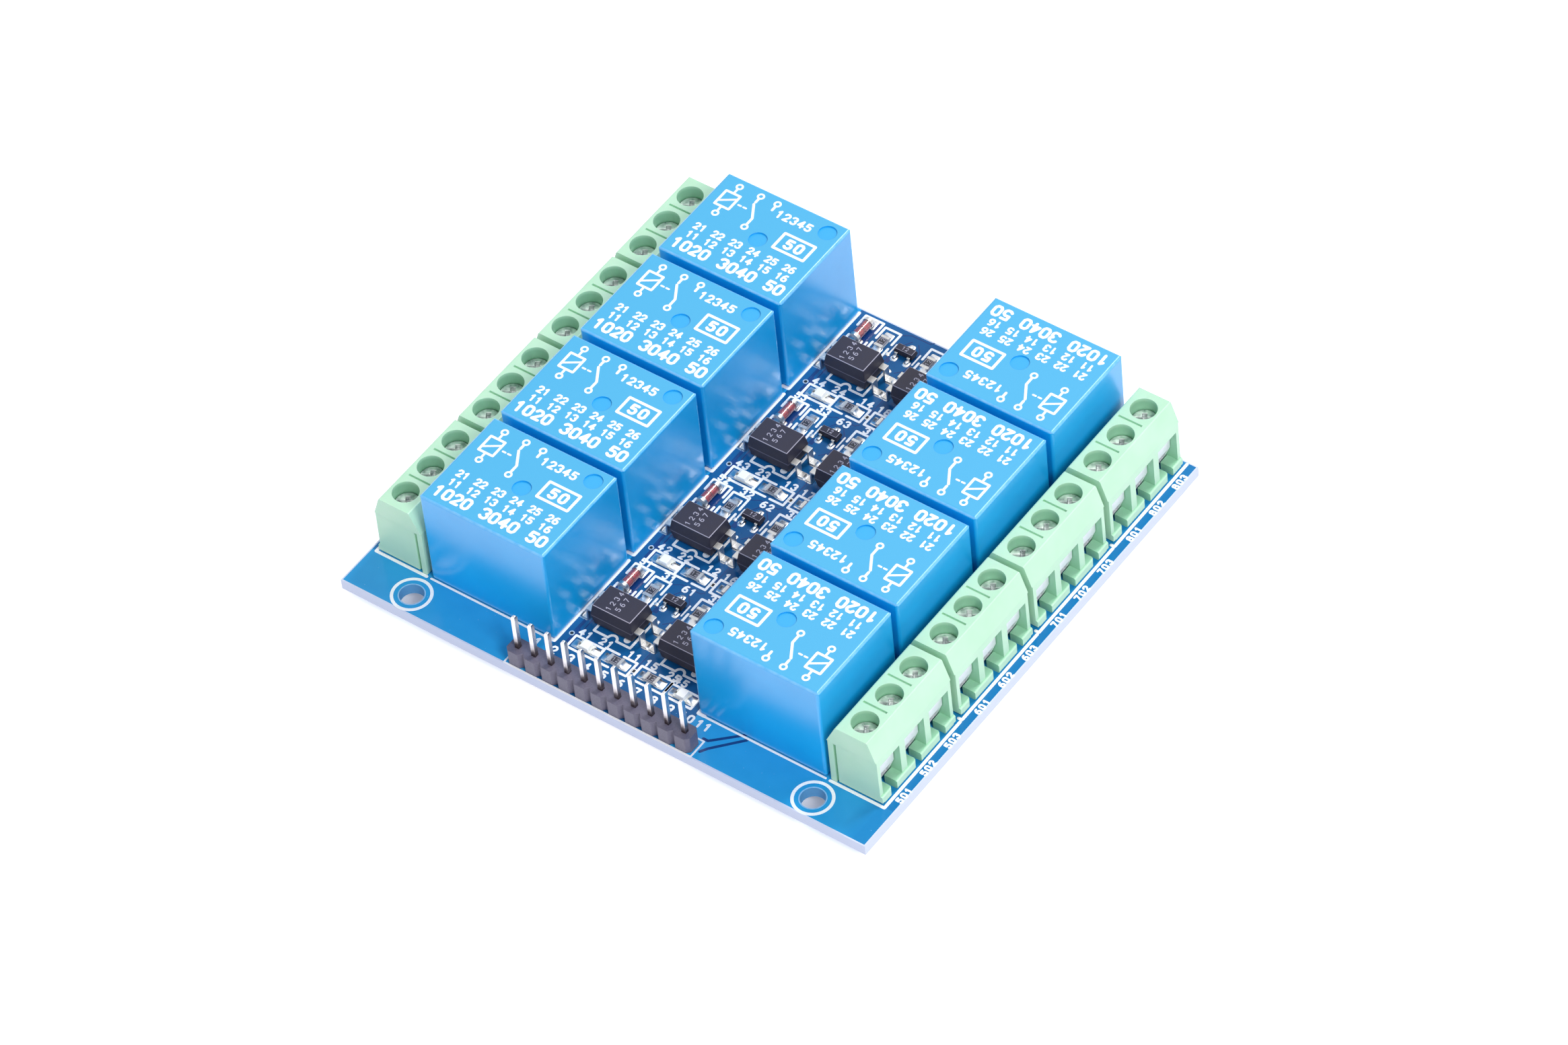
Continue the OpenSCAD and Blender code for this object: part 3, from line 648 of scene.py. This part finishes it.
# The strokes of each digit, as fractions of its height.
digit_lines = {
    "0": [[(.15, 0), (.45, 0), (.6, .18), (.6, .82), (.45, 1), (.15, 1), (0, .82), (0, .18), (.15, 0)]],
    "1": [[(.1, .78), (.33, 1), (.33, 0)]],
    "2": [[(0, .8), (.15, 1), (.45, 1), (.6, .82), (.6, .62), (.02, 0), (.6, 0)]],
    "3": [[(0, .85), (.15, 1), (.45, 1), (.6, .85), (.6, .66), (.42, .53), (.6, .4), (.6, .15),
           (.45, 0), (.15, 0), (0, .15)]],
    "4": [[(.44, 0), (.44, 1)], [(.40, .97), (0, .3), (.64, .3)]],
    "5": [[(.58, 1), (.06, 1), (.03, .57), (.42, .6), (.6, .45), (.6, .16), (.45, 0), (.15, 0),
           (0, .13)]],
    "6": [[(.52, 1), (.28, .98), (.06, .72), (0, .4), (0, .16), (.15, 0), (.45, 0), (.6, .16), (.6, .4),
           (.45, .56), (.15, .56), (.03, .45)]],
    "7": [[(0, 1), (.6, 1), (.22, 0)]],
    "8": [[(.15, .54), (.45, .54), (.58, .68), (.58, .87), (.45, 1), (.15, 1), (.02, .87), (.02, .68),
           (.15, .54)],
          [(.15, 0), (.45, 0), (.6, .14), (.6, .4), (.45, .54), (.15, .54), (0, .4), (0, .14), (.15, 0)]],
    "9": [[(.08, 0), (.32, .02), (.54, .28), (.6, .6), (.6, .84), (.45, 1), (.15, 1), (0, .84), (0, .6),
           (.15, .44), (.45, .44), (.57, .55)]],
}


def number(bm, frame_at, digits, x, y, height, line, turned=0.0, thick=ink_t, pitch=0.86):
    """Prints digits about a place, in strokes of one width."""
    here = frame_at @ Matrix.Translation((x, y, 0)) @ Matrix.Rotation(math.radians(turned), 4, "Z")
    h = height - line
    advance = height * pitch
    start = -(len(digits) - 1) * advance / 2 - 0.3 * h
    for i, digit in enumerate(digits):
        for points in digit_lines.get(digit, []):
            moved = [(start + i * advance + px * h, (py - 0.5) * h) for px, py in points]
            stroke(bm, here, moved, line, thick)


def about(box, z=board_top, degrees=0):
    """Maps millimetres about the middle of a part's box, on the board or at a height."""
    middle = middle_of(box)
    return at(middle.x, middle.y, z, degrees)


def label(bm, here, digits, x, y, height=1.2, line=0.27):
    """Prints a part's number, unless the board ends there."""
    if (here @ Vector((x, y + height, 0))).y < board_high.y:
        number(bm, here, digits, x, y, height, line)


def bracket(bm, frame_at, half_l, half_w, gap, turned=0.0):
    """A pair of square brackets round a part, open at the middle."""
    here = frame_at @ Matrix.Rotation(math.radians(turned), 4, "Z")
    for end in (-1, 1):
        stroke(bm, here, [(end * gap, half_w), (end * half_l, half_w), (end * half_l, -half_w),
                          (end * gap, -half_w)], line_w, ink_t)


printing = bmesh.new()
for box in optos:
    here = about(box)
    outline = ([(-2.45, -1.4), (-2.45, -2.7), (-0.3, -2.7)] + arc(0.35, -2.7, 0.65, 180, 0, 8)
               + [(1.0, -2.7), (3.1, -2.7), (3.1, 1.9)])
    stroke(printing, here, outline, line_w, ink_t)
    plate(printing, here, circle(2.05, -1.8, 0.48), ink_t)
for i, box in enumerate(optos):
    label(printing, about(box), str(21 + i), 0.1, -3.55)
for i, box in enumerate(lights):
    outline = [(-2.35, -1.05), (1.95, -1.05), (1.95, 1.05), (-2.35, 1.05)]
    stroke(printing, about(box), outline, line_w, ink_t, closed=True)
    label(printing, about(box), str(41 + i), -1.5, 1.85)
along_y = [b for b in resistors if b[1].y - b[0].y > b[1].x - b[0].x]
along_x = [b for b in resistors if b not in along_y]
for i, box in enumerate(along_x):
    bracket(printing, about(box), 2.4, 1.2, 0.35)
    label(printing, about(box), str(11 + i), 1.35 if middle_of(box).x < aisle_x else -1.5, 2.0)
for i, box in enumerate(along_y):
    bracket(printing, about(box), 2.5, 1.2, 0.4, turned=90)
    label(printing, about(box), str(31 + i), 0.4, 3.2)
for i, box in enumerate(diodes):
    bracket(printing, about(box), 2.85, 1.4, 0.95, turned=90)
    label(printing, about(box), str(51 + i), -0.3, 3.6, 1.1, 0.25)
for i, box in enumerate(transistors):
    for x in (-1.95, 1.7):
        stroke(printing, about(box), [(x, -1.1), (x, 0.8)], 0.22, ink_t)
    label(printing, about(box), str(61 + i), 0.1, 2.75)
strip_low, strip_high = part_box("header_strip")
for i, box in enumerate(sorted(solids("header_pins"), key=lambda b: b[0].x)):
    number(printing, over_board, str(i + 1), middle_of(box).x / MM, strip_high.y / MM + 2.2, 1.35, 0.3)
strip_front = strip_low.y / MM - 0.12
strip_back = strip_high.y / MM + 0.2
strip_left = strip_low.x / MM - 0.25
strip_right = strip_high.x / MM + 0.3
stroke(printing, over_board, [(strip_left, strip_front), (strip_right, strip_front),
                              (strip_right, strip_back), (strip_left, strip_back)],
       0.24, ink_t, closed=True)
for channel, box in housings.items():
    side = -1 if channel < 5 else 1
    outer = (box[1].x if side > 0 else box[0].x) / MM + side * 0.35
    inner = (box[0].x if side > 0 else box[1].x) / MM
    front, back = box[0].y / MM, box[1].y / MM
    if channel in (1, 5):
        line = [(inner, front - 0.1), (outer, front - 0.1)]
    else:
        line = [(outer - side * 0.5, front - 0.25), (outer, front - 0.25)]
    stroke(printing, over_board, line + [(outer, back + 0.25)], 0.42, ink_t)
    if side > 0:
        for pole in (-1, 0, 1):
            number(printing, over_board, str(channel * 100 + pole + 2), outer + 0.9,
                   middle_of(box).y / MM + pole * pole_pitch, 1.05, 0.26, turned=90)
for channel, box in covers.items():
    side = -1 if channel < 5 else 1
    aisle_side = (box[1].x if side < 0 else box[0].x) / MM
    far_side = (box[0].x if side < 0 else box[1].x) / MM
    front, back = box[0].y / MM, box[1].y / MM
    edge = aisle_side - side * 0.04
    line = [(aisle_side + side * 0.9, front - 0.12), (edge, front - 0.12), (edge, back - 0.1)]
    stroke(printing, over_board, line, 0.5, ink_t)
    if channel in (1, 5):
        stroke(printing, over_board, [(far_side, front - 0.2), (aisle_side, front - 0.2)], 0.3, ink_t)
screw_hole_y = board_low.y / MM + 2.8
half_hole_spacing = 30.65
lips = bmesh.new()
for x in (-half_hole_spacing, half_hole_spacing):
    ring(printing, over_board, aisle_x / MM + x, screw_hole_y, 2.53, 0.42, ink_t, count=64)
    ring(lips, over_board, aisle_x / MM + x, screw_hole_y, 1.69, 0.16, 0.008, count=64)

# The ink is matt and slightly grainy from the mesh it was pushed through.
white_ink = mottled("screen_printed_white_epoxy_ink", 0.12, {0.3: "#F1F6FE", 0.55: "#FFFFFF"},
                    {"Roughness": 0.5, "IOR": 1.5})
add_piece("printed_lines", printing, white_ink)

# The mask thins out at the lip of each screw hole, where the laminate shows through it.
thin_mask = mottled("thin_solder_mask_at_hole", 0.5, {0: "#5FA6DC", 1: "#A9D0EE"}, {"Roughness": 0.3})
add_piece("lips_of_screw_holes", lips, thin_mask)


# ---- Relays ----
# Each relay is a sealed cover moulded in glossy blue polyester over a potted base. The mould
# gives the top a fine spark-eroded grain and polishes the sides.
polyester, tree = start_material("moulded_blue_polyester")
place = add(tree, "TexCoord").outputs["Object"]
facing = add(tree, "SeparateXYZ", {0: add(tree, "NewGeometry").outputs["Normal"]})
on_top = add(tree, "MapRange", {"Value": facing.outputs["Z"], "From Min": 0.9, "From Max": 0.99})
clouds = add(tree, "TexNoise", {"Vector": place, "Scale": 1 / (7 * MM), "Detail": 3.0})
tone = add(tree, "ValToRGB", {"Fac": clouds}, stops={0.3: "#08A2E6", 0.75: "#10AAEE"})
# The top gets a paler, greyer blue of its own: a painted sheen.
top_painted_sheen = add(tree, "Mix", {"Factor": on_top, "A": tone, "B": linear("#33A8D9")}, data_type="RGBA")

# The floors of the marks moulded into the top keep the sides' colour, not the top's painted sheen.
height = add(tree, "SeparateXYZ", {0: place}).outputs["Z"]
sunk = add(tree, "Math", {0: height, 1: covers[1][1].z - 0.1 * MM}, operation="LESS_THAN")
in_mark = add(tree, "Math", {0: sunk, 1: on_top}, operation="MULTIPLY")
marked = add(tree, "Mix", {"Factor": in_mark, "A": top_painted_sheen, "B": linear("#00A4E2")}, data_type="RGBA")

# Edges and corners that face up are painted paler in patches, as a painted highlight.
sizes = [add(tree, "Math", {0: facing.outputs[axis]}, operation="ABSOLUTE") for axis in "XYZ"]
greatest = joined(tree, "MAXIMUM", sizes)
on_edge = add(tree, "MapRange", {"Value": greatest, "From Min": 0.98, "From Max": 0.85, "To Max": 0.55})
edge_highlight_patches = add(tree, "TexNoise", {"Vector": place, "Scale": 1 / (0.9 * MM), "Detail": 4.0})
upward = add(tree, "Math", {0: facing.outputs["Z"], 1: 0.2}, operation="GREATER_THAN")
edge_painted_highlight = joined(tree, "MULTIPLY", [edge_highlight_patches, on_edge, upward])
with_edge_highlight = add(tree, "Mix", {"Factor": edge_painted_highlight, "A": marked, "B": linear("#B9E6FC")}, data_type="RGBA")

# The spark-eroded grain is on the top only. The sides sink in by long, low waves as they cool.
grain = add(tree, "TexNoise", {"Vector": place, "Scale": 1 / (0.16 * MM)})
grain_depth = add(tree, "Math", {0: grain, 1: on_top}, operation="MULTIPLY")
sink = add(tree, "TexNoise", {"Vector": place, "Scale": 1 / (4 * MM), "Detail": 1.0})
waves = add(tree, "Bump", {"Height": sink, "Strength": 0.12, "Distance": 0.05 * MM})
relief = add(tree, "Bump", {"Height": grain_depth, "Strength": 0.3, "Distance": 0.03 * MM,
                            "Normal": waves})
polish = add(tree, "MapRange", {"Value": on_top, "To Min": 0.24, "To Max": 0.45})
end_material(tree, add(tree, "BsdfPrincipled", {
    "Base Color": with_edge_highlight, "Roughness": polish, "Normal": relief, "Specular IOR Level": 0.8,
    "IOR": 1.57}))
for channel in covers:
    dress(f"relay_{channel}_cover", polyester)

# Each top is pad-printed in thin white ink that lets some blue through: three rows of numbers and
# a plain diagram of a coil and a changeover contact.

def print_relay(bm, here):
    """Prints a relay's top, in millimetres from its middle."""
    for text, y, height, line in (
        ("1020 3040 50", -5.75, 1.95, 0.42), ("11 12 13 14 15 16", -3.75, 1.25, 0.28),
        ("21 22 23 24 25 26", -2.1, 1.25, 0.28)
    ):
        number(bm, here, text, 0, y, height, line, pitch=0.74)
    coil = [(-7.9, 2.3), (-5.7, 2.3), (-5.7, 4.9), (-7.9, 4.9)]
    stroke(bm, here, coil, 0.36, ink_t, closed=True)
    stroke(bm, here, [(-7.9, 2.9), (-5.7, 4.3)], 0.3, ink_t)
    for y, end in ((2.3, 1.3), (4.9, 5.9)):
        stroke(bm, here, [(-6.8, y), (-6.8, end)], 0.32, ink_t)
        ring(bm, here, -6.8, end + (0.35 if end > 3 else -0.35), 0.4, 0.28, ink_t)
    for x in (-5.1, -4.3):
        stroke(bm, here, [(x, 3.6), (x + 0.4, 3.6)], 0.28, ink_t)
    stroke(bm, here, [(-2.2, 1.3), (-2.2, 2.6), (-3.5, 4.75)], 0.36, ink_t)
    ring(bm, here, -2.2, 0.9, 0.4, 0.28, ink_t)
    for x in (-3.5, -0.9):
        stroke(bm, here, [(x, 5.1), (x, 5.9)], 0.36, ink_t)
        ring(bm, here, x, 6.3, 0.4, 0.28, ink_t)
    stroke(bm, here, [(2.9, -0.1), (7.6, -0.1), (7.6, 2.7), (2.9, 2.7)], 0.4, ink_t, closed=True)
    number(bm, here, "50", 5.25, 1.3, 1.8, 0.42)
    number(bm, here, "12345", 2.6, 5.0, 1.4, 0.3, pitch=0.8)


pad_ink = mottled("pad_printed_white_ink", 0.15, {0.25: "#CFE9F8", 0.5: "#FAFCFD"},
                  {"Roughness": 0.45, "IOR": 1.5})
for channel, box in covers.items():
    print_mesh = bmesh.new()
    print_relay(print_mesh, about(box, box[1].z, 0 if channel < 5 else 180))
    add_piece(f"relay_{channel}_print", print_mesh, pad_ink)

# The base and its feet are phenolic, sealed to the cover with dark potting resin.
resin = mottled("dark_phenolic_and_resin", 1.5, {0: "#132235", 1: "#22344B"},
                {"Roughness": 0.35, "IOR": 1.55}, detail=3.0, bump=(0.4, 0.1))
for channel in covers:
    dress(f"relay_{channel}_base", resin)

# Pins are punched from brass strip and tinned: bright, with fine lines along the draw.
tinned, tree = start_material("tinned_brass_strip")
place = add(tree, "TexCoord").outputs["Object"]
stretch = add(tree, "Mapping", {"Vector": place, "Scale": (1, 1, 0.08)})
lines = add(tree, "TexNoise", {"Vector": stretch, "Scale": 1 / (0.08 * MM)})
tone = add(tree, "ValToRGB", {"Fac": lines}, stops={0: "#C3C3C6", 1: "#EDECEA"})
rough = add(tree, "MapRange", {"Value": lines, "To Min": 0.14, "To Max": 0.34})
end_material(tree, add(tree, "BsdfPrincipled", {
    "Base Color": tone, "Metallic": 1.0, "Roughness": rough}))
dress("relay_pins", tinned)
dress("terminal_pins", tinned)


# ---- Screw terminals ----
# Housings moulded in pale green polyamide, satin, with every edge eased by the mould. Nylon lets
# a little light in. The wells and slots are painted a deeper green, as painted shade.

sharp_angle = math.radians(35)


def eased(node, width, material):
    """A copy of a CAD node, its sharp edges eased by the width in millimetres."""
    bm = bmesh.new()
    bm.from_mesh(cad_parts[node].data)
    bmesh.ops.remove_doubles(bm, verts=bm.verts, dist=1e-7)
    bmesh.ops.dissolve_limit(bm, angle_limit=math.radians(0.5), verts=bm.verts, edges=bm.edges)
    mesh = bpy.data.meshes.new(node + "_moulded")
    points = [v.co.copy() for v in bm.verts]
    faces = [[v.index for v in face.verts] for face in bm.faces]
    bm.free()
    mesh.from_pydata(points, [], faces)
    mesh.materials.append(material)
    mesh.shade_smooth()
    mesh.set_sharp_from_angle(angle=sharp_angle)
    piece = bpy.data.objects.new(node + "_moulded", mesh)
    bpy.context.scene.collection.objects.link(piece)
    bevel = piece.modifiers.new("eased_edges", "BEVEL")
    bevel.width = width * MM
    bevel.segments = 2
    bevel.limit_method = "ANGLE"
    bevel.angle_limit = sharp_angle
    bevel.harden_normals = True
    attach(piece, "root")
    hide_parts(node)


polyamide, tree = start_material("moulded_green_polyamide")
place = add(tree, "TexCoord").outputs["Object"]
clouds = add(tree, "TexNoise", {"Vector": place, "Scale": 1 / (5 * MM), "Detail": 3.0})
tone = add(tree, "ValToRGB", {"Fac": clouds}, stops={0.3: "#B4DFC0", 0.75: "#BEE5C9"})

# The wells round the screws and the wire entries between the ribs are told by their places, which
# repeat at the pitch of the rows and of the poles.
well_radius = 1.8 * MM
entry_height = 6.4 * MM
half_pole = pole_pitch * MM / 2
half_row = (row_y[2] - row_y[1]) / 2
half_housing = (housings[5][1].y - housings[5][0].y) / 2
screw_x = middle_of(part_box("terminal_5_screws")).x - aisle_x
spot = add(tree, "SeparateXYZ", {0: place})
facing = add(tree, "SeparateXYZ", {0: add(tree, "NewGeometry").outputs["Normal"]})
from_row = add(tree, "Math", {0: spot.outputs["Y"], 1: row_y[1]}, operation="SUBTRACT")
from_row = add(tree, "Math", {0: from_row, 1: -half_row, 2: half_row}, operation="WRAP")
from_pole = add(tree, "Math", {0: from_row, 1: -half_pole, 2: half_pole}, operation="WRAP")
across = add(tree, "Math", {0: off_middle(tree, spot.outputs["X"], aisle_x), 1: screw_x},
             operation="SUBTRACT")
flat = add(tree, "CombineXYZ", {"X": across, "Y": from_pole})
from_screw = add(tree, "VectorMath", {0: flat}, operation="LENGTH")
near_screw = add(tree, "Math", {0: from_screw, 1: well_radius}, operation="LESS_THAN")
sunk = add(tree, "MapRange", {"Value": spot.outputs["Z"], "From Min": housings[5][1].z - 0.1 * MM,
                              "From Max": housings[5][1].z - 0.6 * MM})
in_well = joined(tree, "MULTIPLY", [near_screw, sunk])
off_row = add(tree, "Math", {0: from_row}, operation="ABSOLUTE")
between_ends = add(tree, "Math", {0: off_row, 1: half_housing - 0.2 * MM}, operation="LESS_THAN")
low_down = add(tree, "Math", {0: spot.outputs["Z"], 1: housings[5][0].z + entry_height},
               operation="LESS_THAN")
outward = add(tree, "Math", {0: facing.outputs["X"]}, operation="ABSOLUTE")
sideways = add(tree, "Math", {0: outward, 1: 0.5}, operation="LESS_THAN")
in_entry = joined(tree, "MULTIPLY", [between_ends, low_down, sideways])
recessed = joined(tree, "MAXIMUM", [in_well, in_entry])
# Painted shade: the wells and the wire entries take a deeper green.
deeper = add(tree, "Mix", {"Factor": recessed, "A": tone, "B": linear("#95CBA9")}, data_type="RGBA")
grain = add(tree, "TexNoise", {"Vector": place, "Scale": 1 / (0.18 * MM)})
relief = add(tree, "Bump", {"Height": grain, "Strength": 0.2, "Distance": 0.02 * MM})
end_material(tree, add(tree, "BsdfPrincipled", {
    "Base Color": deeper, "Roughness": 0.38, "Normal": relief, "IOR": 1.53, "Subsurface Weight": 0.12,
    "Subsurface Radius": (0.3, 1.0, 0.5), "Subsurface Scale": 0.8 * MM}))
for channel in housings:
    eased(f"terminal_{channel}_housing", 0.07, polyamide)

# Clamps and screws are steel plated with zinc and lightly tumbled, so their shine is soft.
zinc, tree = start_material("zinc_plated_steel")
place = add(tree, "TexCoord").outputs["Object"]
spangle = add(tree, "TexNoise", {"Vector": place, "Scale": 1 / (0.8 * MM), "Detail": 1.5})
tone = add(tree, "ValToRGB", {"Fac": spangle}, stops={0.35: "#B9BEC0", 0.62: "#FAFCFB"})
rough = add(tree, "MapRange", {"Value": spangle, "To Min": 0.2, "To Max": 0.42})
relief = add(tree, "Bump", {"Height": spangle, "Strength": 0.2, "Distance": 0.02 * MM})
end_material(tree, add(tree, "BsdfPrincipled", {
    "Base Color": tone, "Metallic": 0.7, "Roughness": rough, "Normal": relief}))
for channel in housings:
    eased(f"terminal_{channel}_screws", 0.1, zinc)

# The clamps' plating was passivated, which left it whiter and duller than the screws'.
dull_zinc = mottled("passivated_zinc_plated_steel", 0.5, {0: "#E4E6EC", 1: "#FAFBFE"},
                    {"Metallic": 0.45, "Roughness": 0.45}, detail=3.0)
for channel in housings:
    eased(f"terminal_{channel}_clamps", 0.08, dull_zinc)


# ---- Pin header ----
# Square pins of tin-plated wire, pressed through a black strip with a notch between every two.
# The strip is moulded from polyester with glass fibres, which leave it satin and a little grey.
black_polyester = mottled("moulded_black_polyester", 0.2, {0: "#514E61", 1: "#6C687B"},
                          {"Roughness": 0.4, "IOR": 1.6, "Specular IOR Level": 0.4}, detail=4.0,
                          bump=(0.3, 0.02))
eased("header_strip", 0.08, black_polyester)

# Near the strip the wire is painted a darker brown-grey in patches: a painted reflection of the
# black strip, and painted shade.
tin_wire, tree = start_material("tin_plated_square_wire")
place = add(tree, "TexCoord").outputs["Object"]
stretch = add(tree, "Mapping", {"Vector": place, "Scale": (1, 1, 0.05)})
lines = add(tree, "TexNoise", {"Vector": stretch, "Scale": 1 / (0.1 * MM)})
tone = add(tree, "ValToRGB", {"Fac": lines}, stops={0: "#C9C6C8", 1: "#EFEDEE"})
height = add(tree, "SeparateXYZ", {0: place}).outputs["Z"]
near_strip_painted_shade = add(tree, "MapRange", {"Value": height, "From Min": strip_high.z + 2.4 * MM,
                                 "From Max": strip_high.z})
shade_patches = add(tree, "TexNoise", {"Vector": place, "Scale": 1 / (0.8 * MM)})
painted_shade_and_reflection = add(tree, "Math", {0: near_strip_painted_shade, 1: shade_patches}, operation="MULTIPLY")
painted_shade_and_reflection = add(tree, "Math", {0: painted_shade_and_reflection, 1: 2.2}, operation="MULTIPLY", use_clamp=True)
with_painted_shade = add(tree, "Mix", {"Factor": painted_shade_and_reflection, "A": tone, "B": linear("#7A6E6C")}, data_type="RGBA")
rough = add(tree, "MapRange", {"Value": lines, "To Min": 0.2, "To Max": 0.4})
end_material(tree, add(tree, "BsdfPrincipled", {
    "Base Color": with_painted_shade, "Metallic": 1.0, "Roughness": rough}))
eased("header_pins", 0.05, tin_wire)


# ---- Optocouplers ----
# Black epoxy moulded round a lead frame, in two halves that meet at a parting line. Two rows of
# numbers are lasered on the top, and the leads are bent out and down to their pads.
epoxy, tree = start_material("moulded_black_epoxy")
place = add(tree, "TexCoord").outputs["Object"]
silica = add(tree, "TexNoise", {"Vector": place, "Scale": 1 / (0.1 * MM), "Detail": 3.0})
tone = add(tree, "ValToRGB", {"Fac": silica}, stops={0: "#2A2834", 1: "#3C3947"})

# The rims of the top carry a painted highlight, and the parting line round the sides has a pale burr.
rim_highlight_strength = 0.75
facing = add(tree, "SeparateXYZ", {0: add(tree, "NewGeometry").outputs["Normal"]})
above = add(tree, "MapRange", {"Value": facing.outputs["Z"], "From Min": 0.3, "From Max": 0.45})
below = add(tree, "MapRange", {"Value": facing.outputs["Z"], "From Min": 0.97, "From Max": 0.9})
on_rim = joined(tree, "MULTIPLY", [above, below, rim_highlight_strength])
rim_highlighted = add(tree, "Mix", {"Factor": on_rim, "A": tone, "B": linear("#C6C1D0")}, data_type="RGBA")
height = add(tree, "SeparateXYZ", {0: place}).outputs["Z"]
opto_low, opto_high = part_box("optocoupler_bodies")
from_seam = off_middle(tree, height, (opto_low.z + opto_high.z) / 2)
seam = add(tree, "MapRange", {"Value": from_seam, "From Min": 0.09 * MM, "From Max": 0.05 * MM,
                              "To Max": 0.5})
seamed = add(tree, "Mix", {"Factor": seam, "A": rim_highlighted, "B": linear("#8C8798")}, data_type="RGBA")
relief = add(tree, "Bump", {"Height": silica, "Strength": 0.35, "Distance": 0.02 * MM})
end_material(tree, add(tree, "BsdfPrincipled", {
    "Base Color": seamed, "Roughness": 0.55, "Normal": relief, "IOR": 1.6,
    "Specular IOR Level": 0.25}))
eased("optocoupler_bodies", 0.12, epoxy)
eased("transistor_bodies", 0.06, epoxy)

# The small parts' leads and end caps are tin plated, without the header wire's painted shade.
lead_tin = mottled("bright_tinned_leads", 0.25, {0: "#BDBCBC", 1: "#E6E5E2"},
                   {"Metallic": 1.0, "Roughness": 0.32})
for node in ("optocoupler_leads", "transistor_leads"):
    eased(node, 0.03, lead_tin)

# A laser leaves the epoxy's skin pale and matt where it wrote.
lasered, tree = start_material("lasered_epoxy")
end_material(tree, add(tree, "BsdfPrincipled", {"Base Color": linear("#A9A5B4"), "Roughness": 0.6}))
laser_marks = bmesh.new()
for box in optos:
    for digits, x in (("1 2 3 4", -0.8), ("5 6 7", 0.35)):
        number(laser_marks, about(box, box[1].z), digits, x, 0, 0.75, 0.11, turned=90, thick=0.008,
               pitch=0.6)
for box in transistors:
    number(laser_marks, about(box, box[1].z), "12", 0, 0, 0.6, 0.09, thick=0.006)
add_piece("laser_marks", laser_marks, lasered)


# ---- Glass diodes ----
# A sealed glass tube holds a chip between two red-brown copper-clad studs, with a tinned cap
# crimped on each end.
# The glass is clear and bright, and carries the studs' red all through.
glass, tree = start_material("clear_soda_glass_red_tint")
end_material(tree, add(tree, "BsdfPrincipled", {
    "Base Color": linear("#F7B4BA"), "Roughness": 0.05, "IOR": 1.52, "Transmission Weight": 0.85,
    "Coat Weight": 1.0}))
dress("diode_tubes", glass)
dress("diode_caps", lead_tin)

# Sealing the tube at red heat left the studs' copper a deep, half-bright red.
stud_metal, tree = start_material("oxidised_copper_clad_studs")
end_material(tree, add(tree, "BsdfPrincipled", {
    "Base Color": linear("#C42C38"), "Roughness": 0.3, "Metallic": 0.3}))
studs = bmesh.new()
facets = 16
for box in diodes:
    middle = middle_of(box)
    half = (box[1].y - box[0].y) / 2 / MM
    for end in (-1, 1):
        loops = []
        for radius, reach in ((0.0, 0.12), (0.42, 0.12), (0.5, 0.25), (0.5, 0.7), (0.42, half)):
            loops.append([studs.verts.new((
                middle.x + radius * math.cos(a) * MM, middle.y + end * reach * MM,
                middle.z + radius * math.sin(a) * MM
            )) for a in (2 * math.pi * k / facets for k in range(facets))])
        bridge(studs, loops)
        studs.faces.new(loops[-1])
bmesh.ops.remove_doubles(studs, verts=studs.verts, dist=1e-7)
add_piece("diode_studs", studs, stud_metal, smooth=50)


# ---- Indicator lights ----
# Each is a chip on a base of white laminate, cast over with clear resin, which looks milky when
# it is unlit. The laminate's glass weave makes its white slightly uneven.
laminate = mottled("white_laminate", 0.2, {0: "#DCDDD4", 1: "#F1F2EA"}, {"Roughness": 0.5})
dress("led_bases", laminate)

# The resin is glossy and takes the light in a little way, so its shape has no hard shade.
cast_resin, tree = start_material("milky_cast_resin")
end_material(tree, add(tree, "BsdfPrincipled", {
    "Base Color": linear("#FDFFFB"), "Roughness": 0.12, "IOR": 1.5, "Subsurface Weight": 0.2,
    "Subsurface Radius": (1.0, 1.0, 0.8), "Subsurface Scale": 0.4 * MM}))
eased("led_lenses", 0.06, cast_resin)


# ---- Chip resistors ----
# A white ceramic chip with a black glaze on top, a paler glaze frame round its mark, and tinned
# caps wrapped over both ends.
glaze, tree = start_material("black_glazed_alumina")
place = add(tree, "TexCoord").outputs["Object"]
facing = add(tree, "SeparateXYZ", {0: add(tree, "NewGeometry").outputs["Normal"]})
on_top = add(tree, "Math", {0: facing.outputs["Z"], 1: 0.7}, operation="GREATER_THAN")
flow = add(tree, "TexNoise", {"Vector": place, "Scale": 1 / (0.4 * MM)})
tone = add(tree, "ValToRGB", {"Fac": flow}, stops={0: "#22232B", 1: "#34353F"})
side_or_top = add(tree, "Mix", {"Factor": on_top, "A": linear("#DDDCD8"), "B": tone}, data_type="RGBA")
end_material(tree, add(tree, "BsdfPrincipled", {
    "Base Color": side_or_top, "Roughness": 0.3, "IOR": 1.55}))
dress("resistor_bodies", glaze)
dress("resistor_caps", lead_tin)

# The mark and its frame are printed in a second, grey glaze, satin from the firing.
frame_mark, tree = start_material("grey_glaze_frame")
end_material(tree, add(tree, "BsdfPrincipled", {"Base Color": linear("#9A98A3"), "Roughness": 0.35}))
resistor_marks = bmesh.new()
glaze_t = 0.01
for box in resistors:
    here = about(box, box[1].z, 90 if box in along_y else 0)
    outline = [(-0.55, -0.5), (0.55, -0.5), (0.55, 0.5), (-0.55, 0.5)]
    stroke(resistor_marks, here, outline, 0.1, glaze_t, closed=True)
    number(resistor_marks, here, "12", 0, 0, 0.6, 0.09, thick=glaze_t)
add_piece("resistor_marks", resistor_marks, frame_mark)
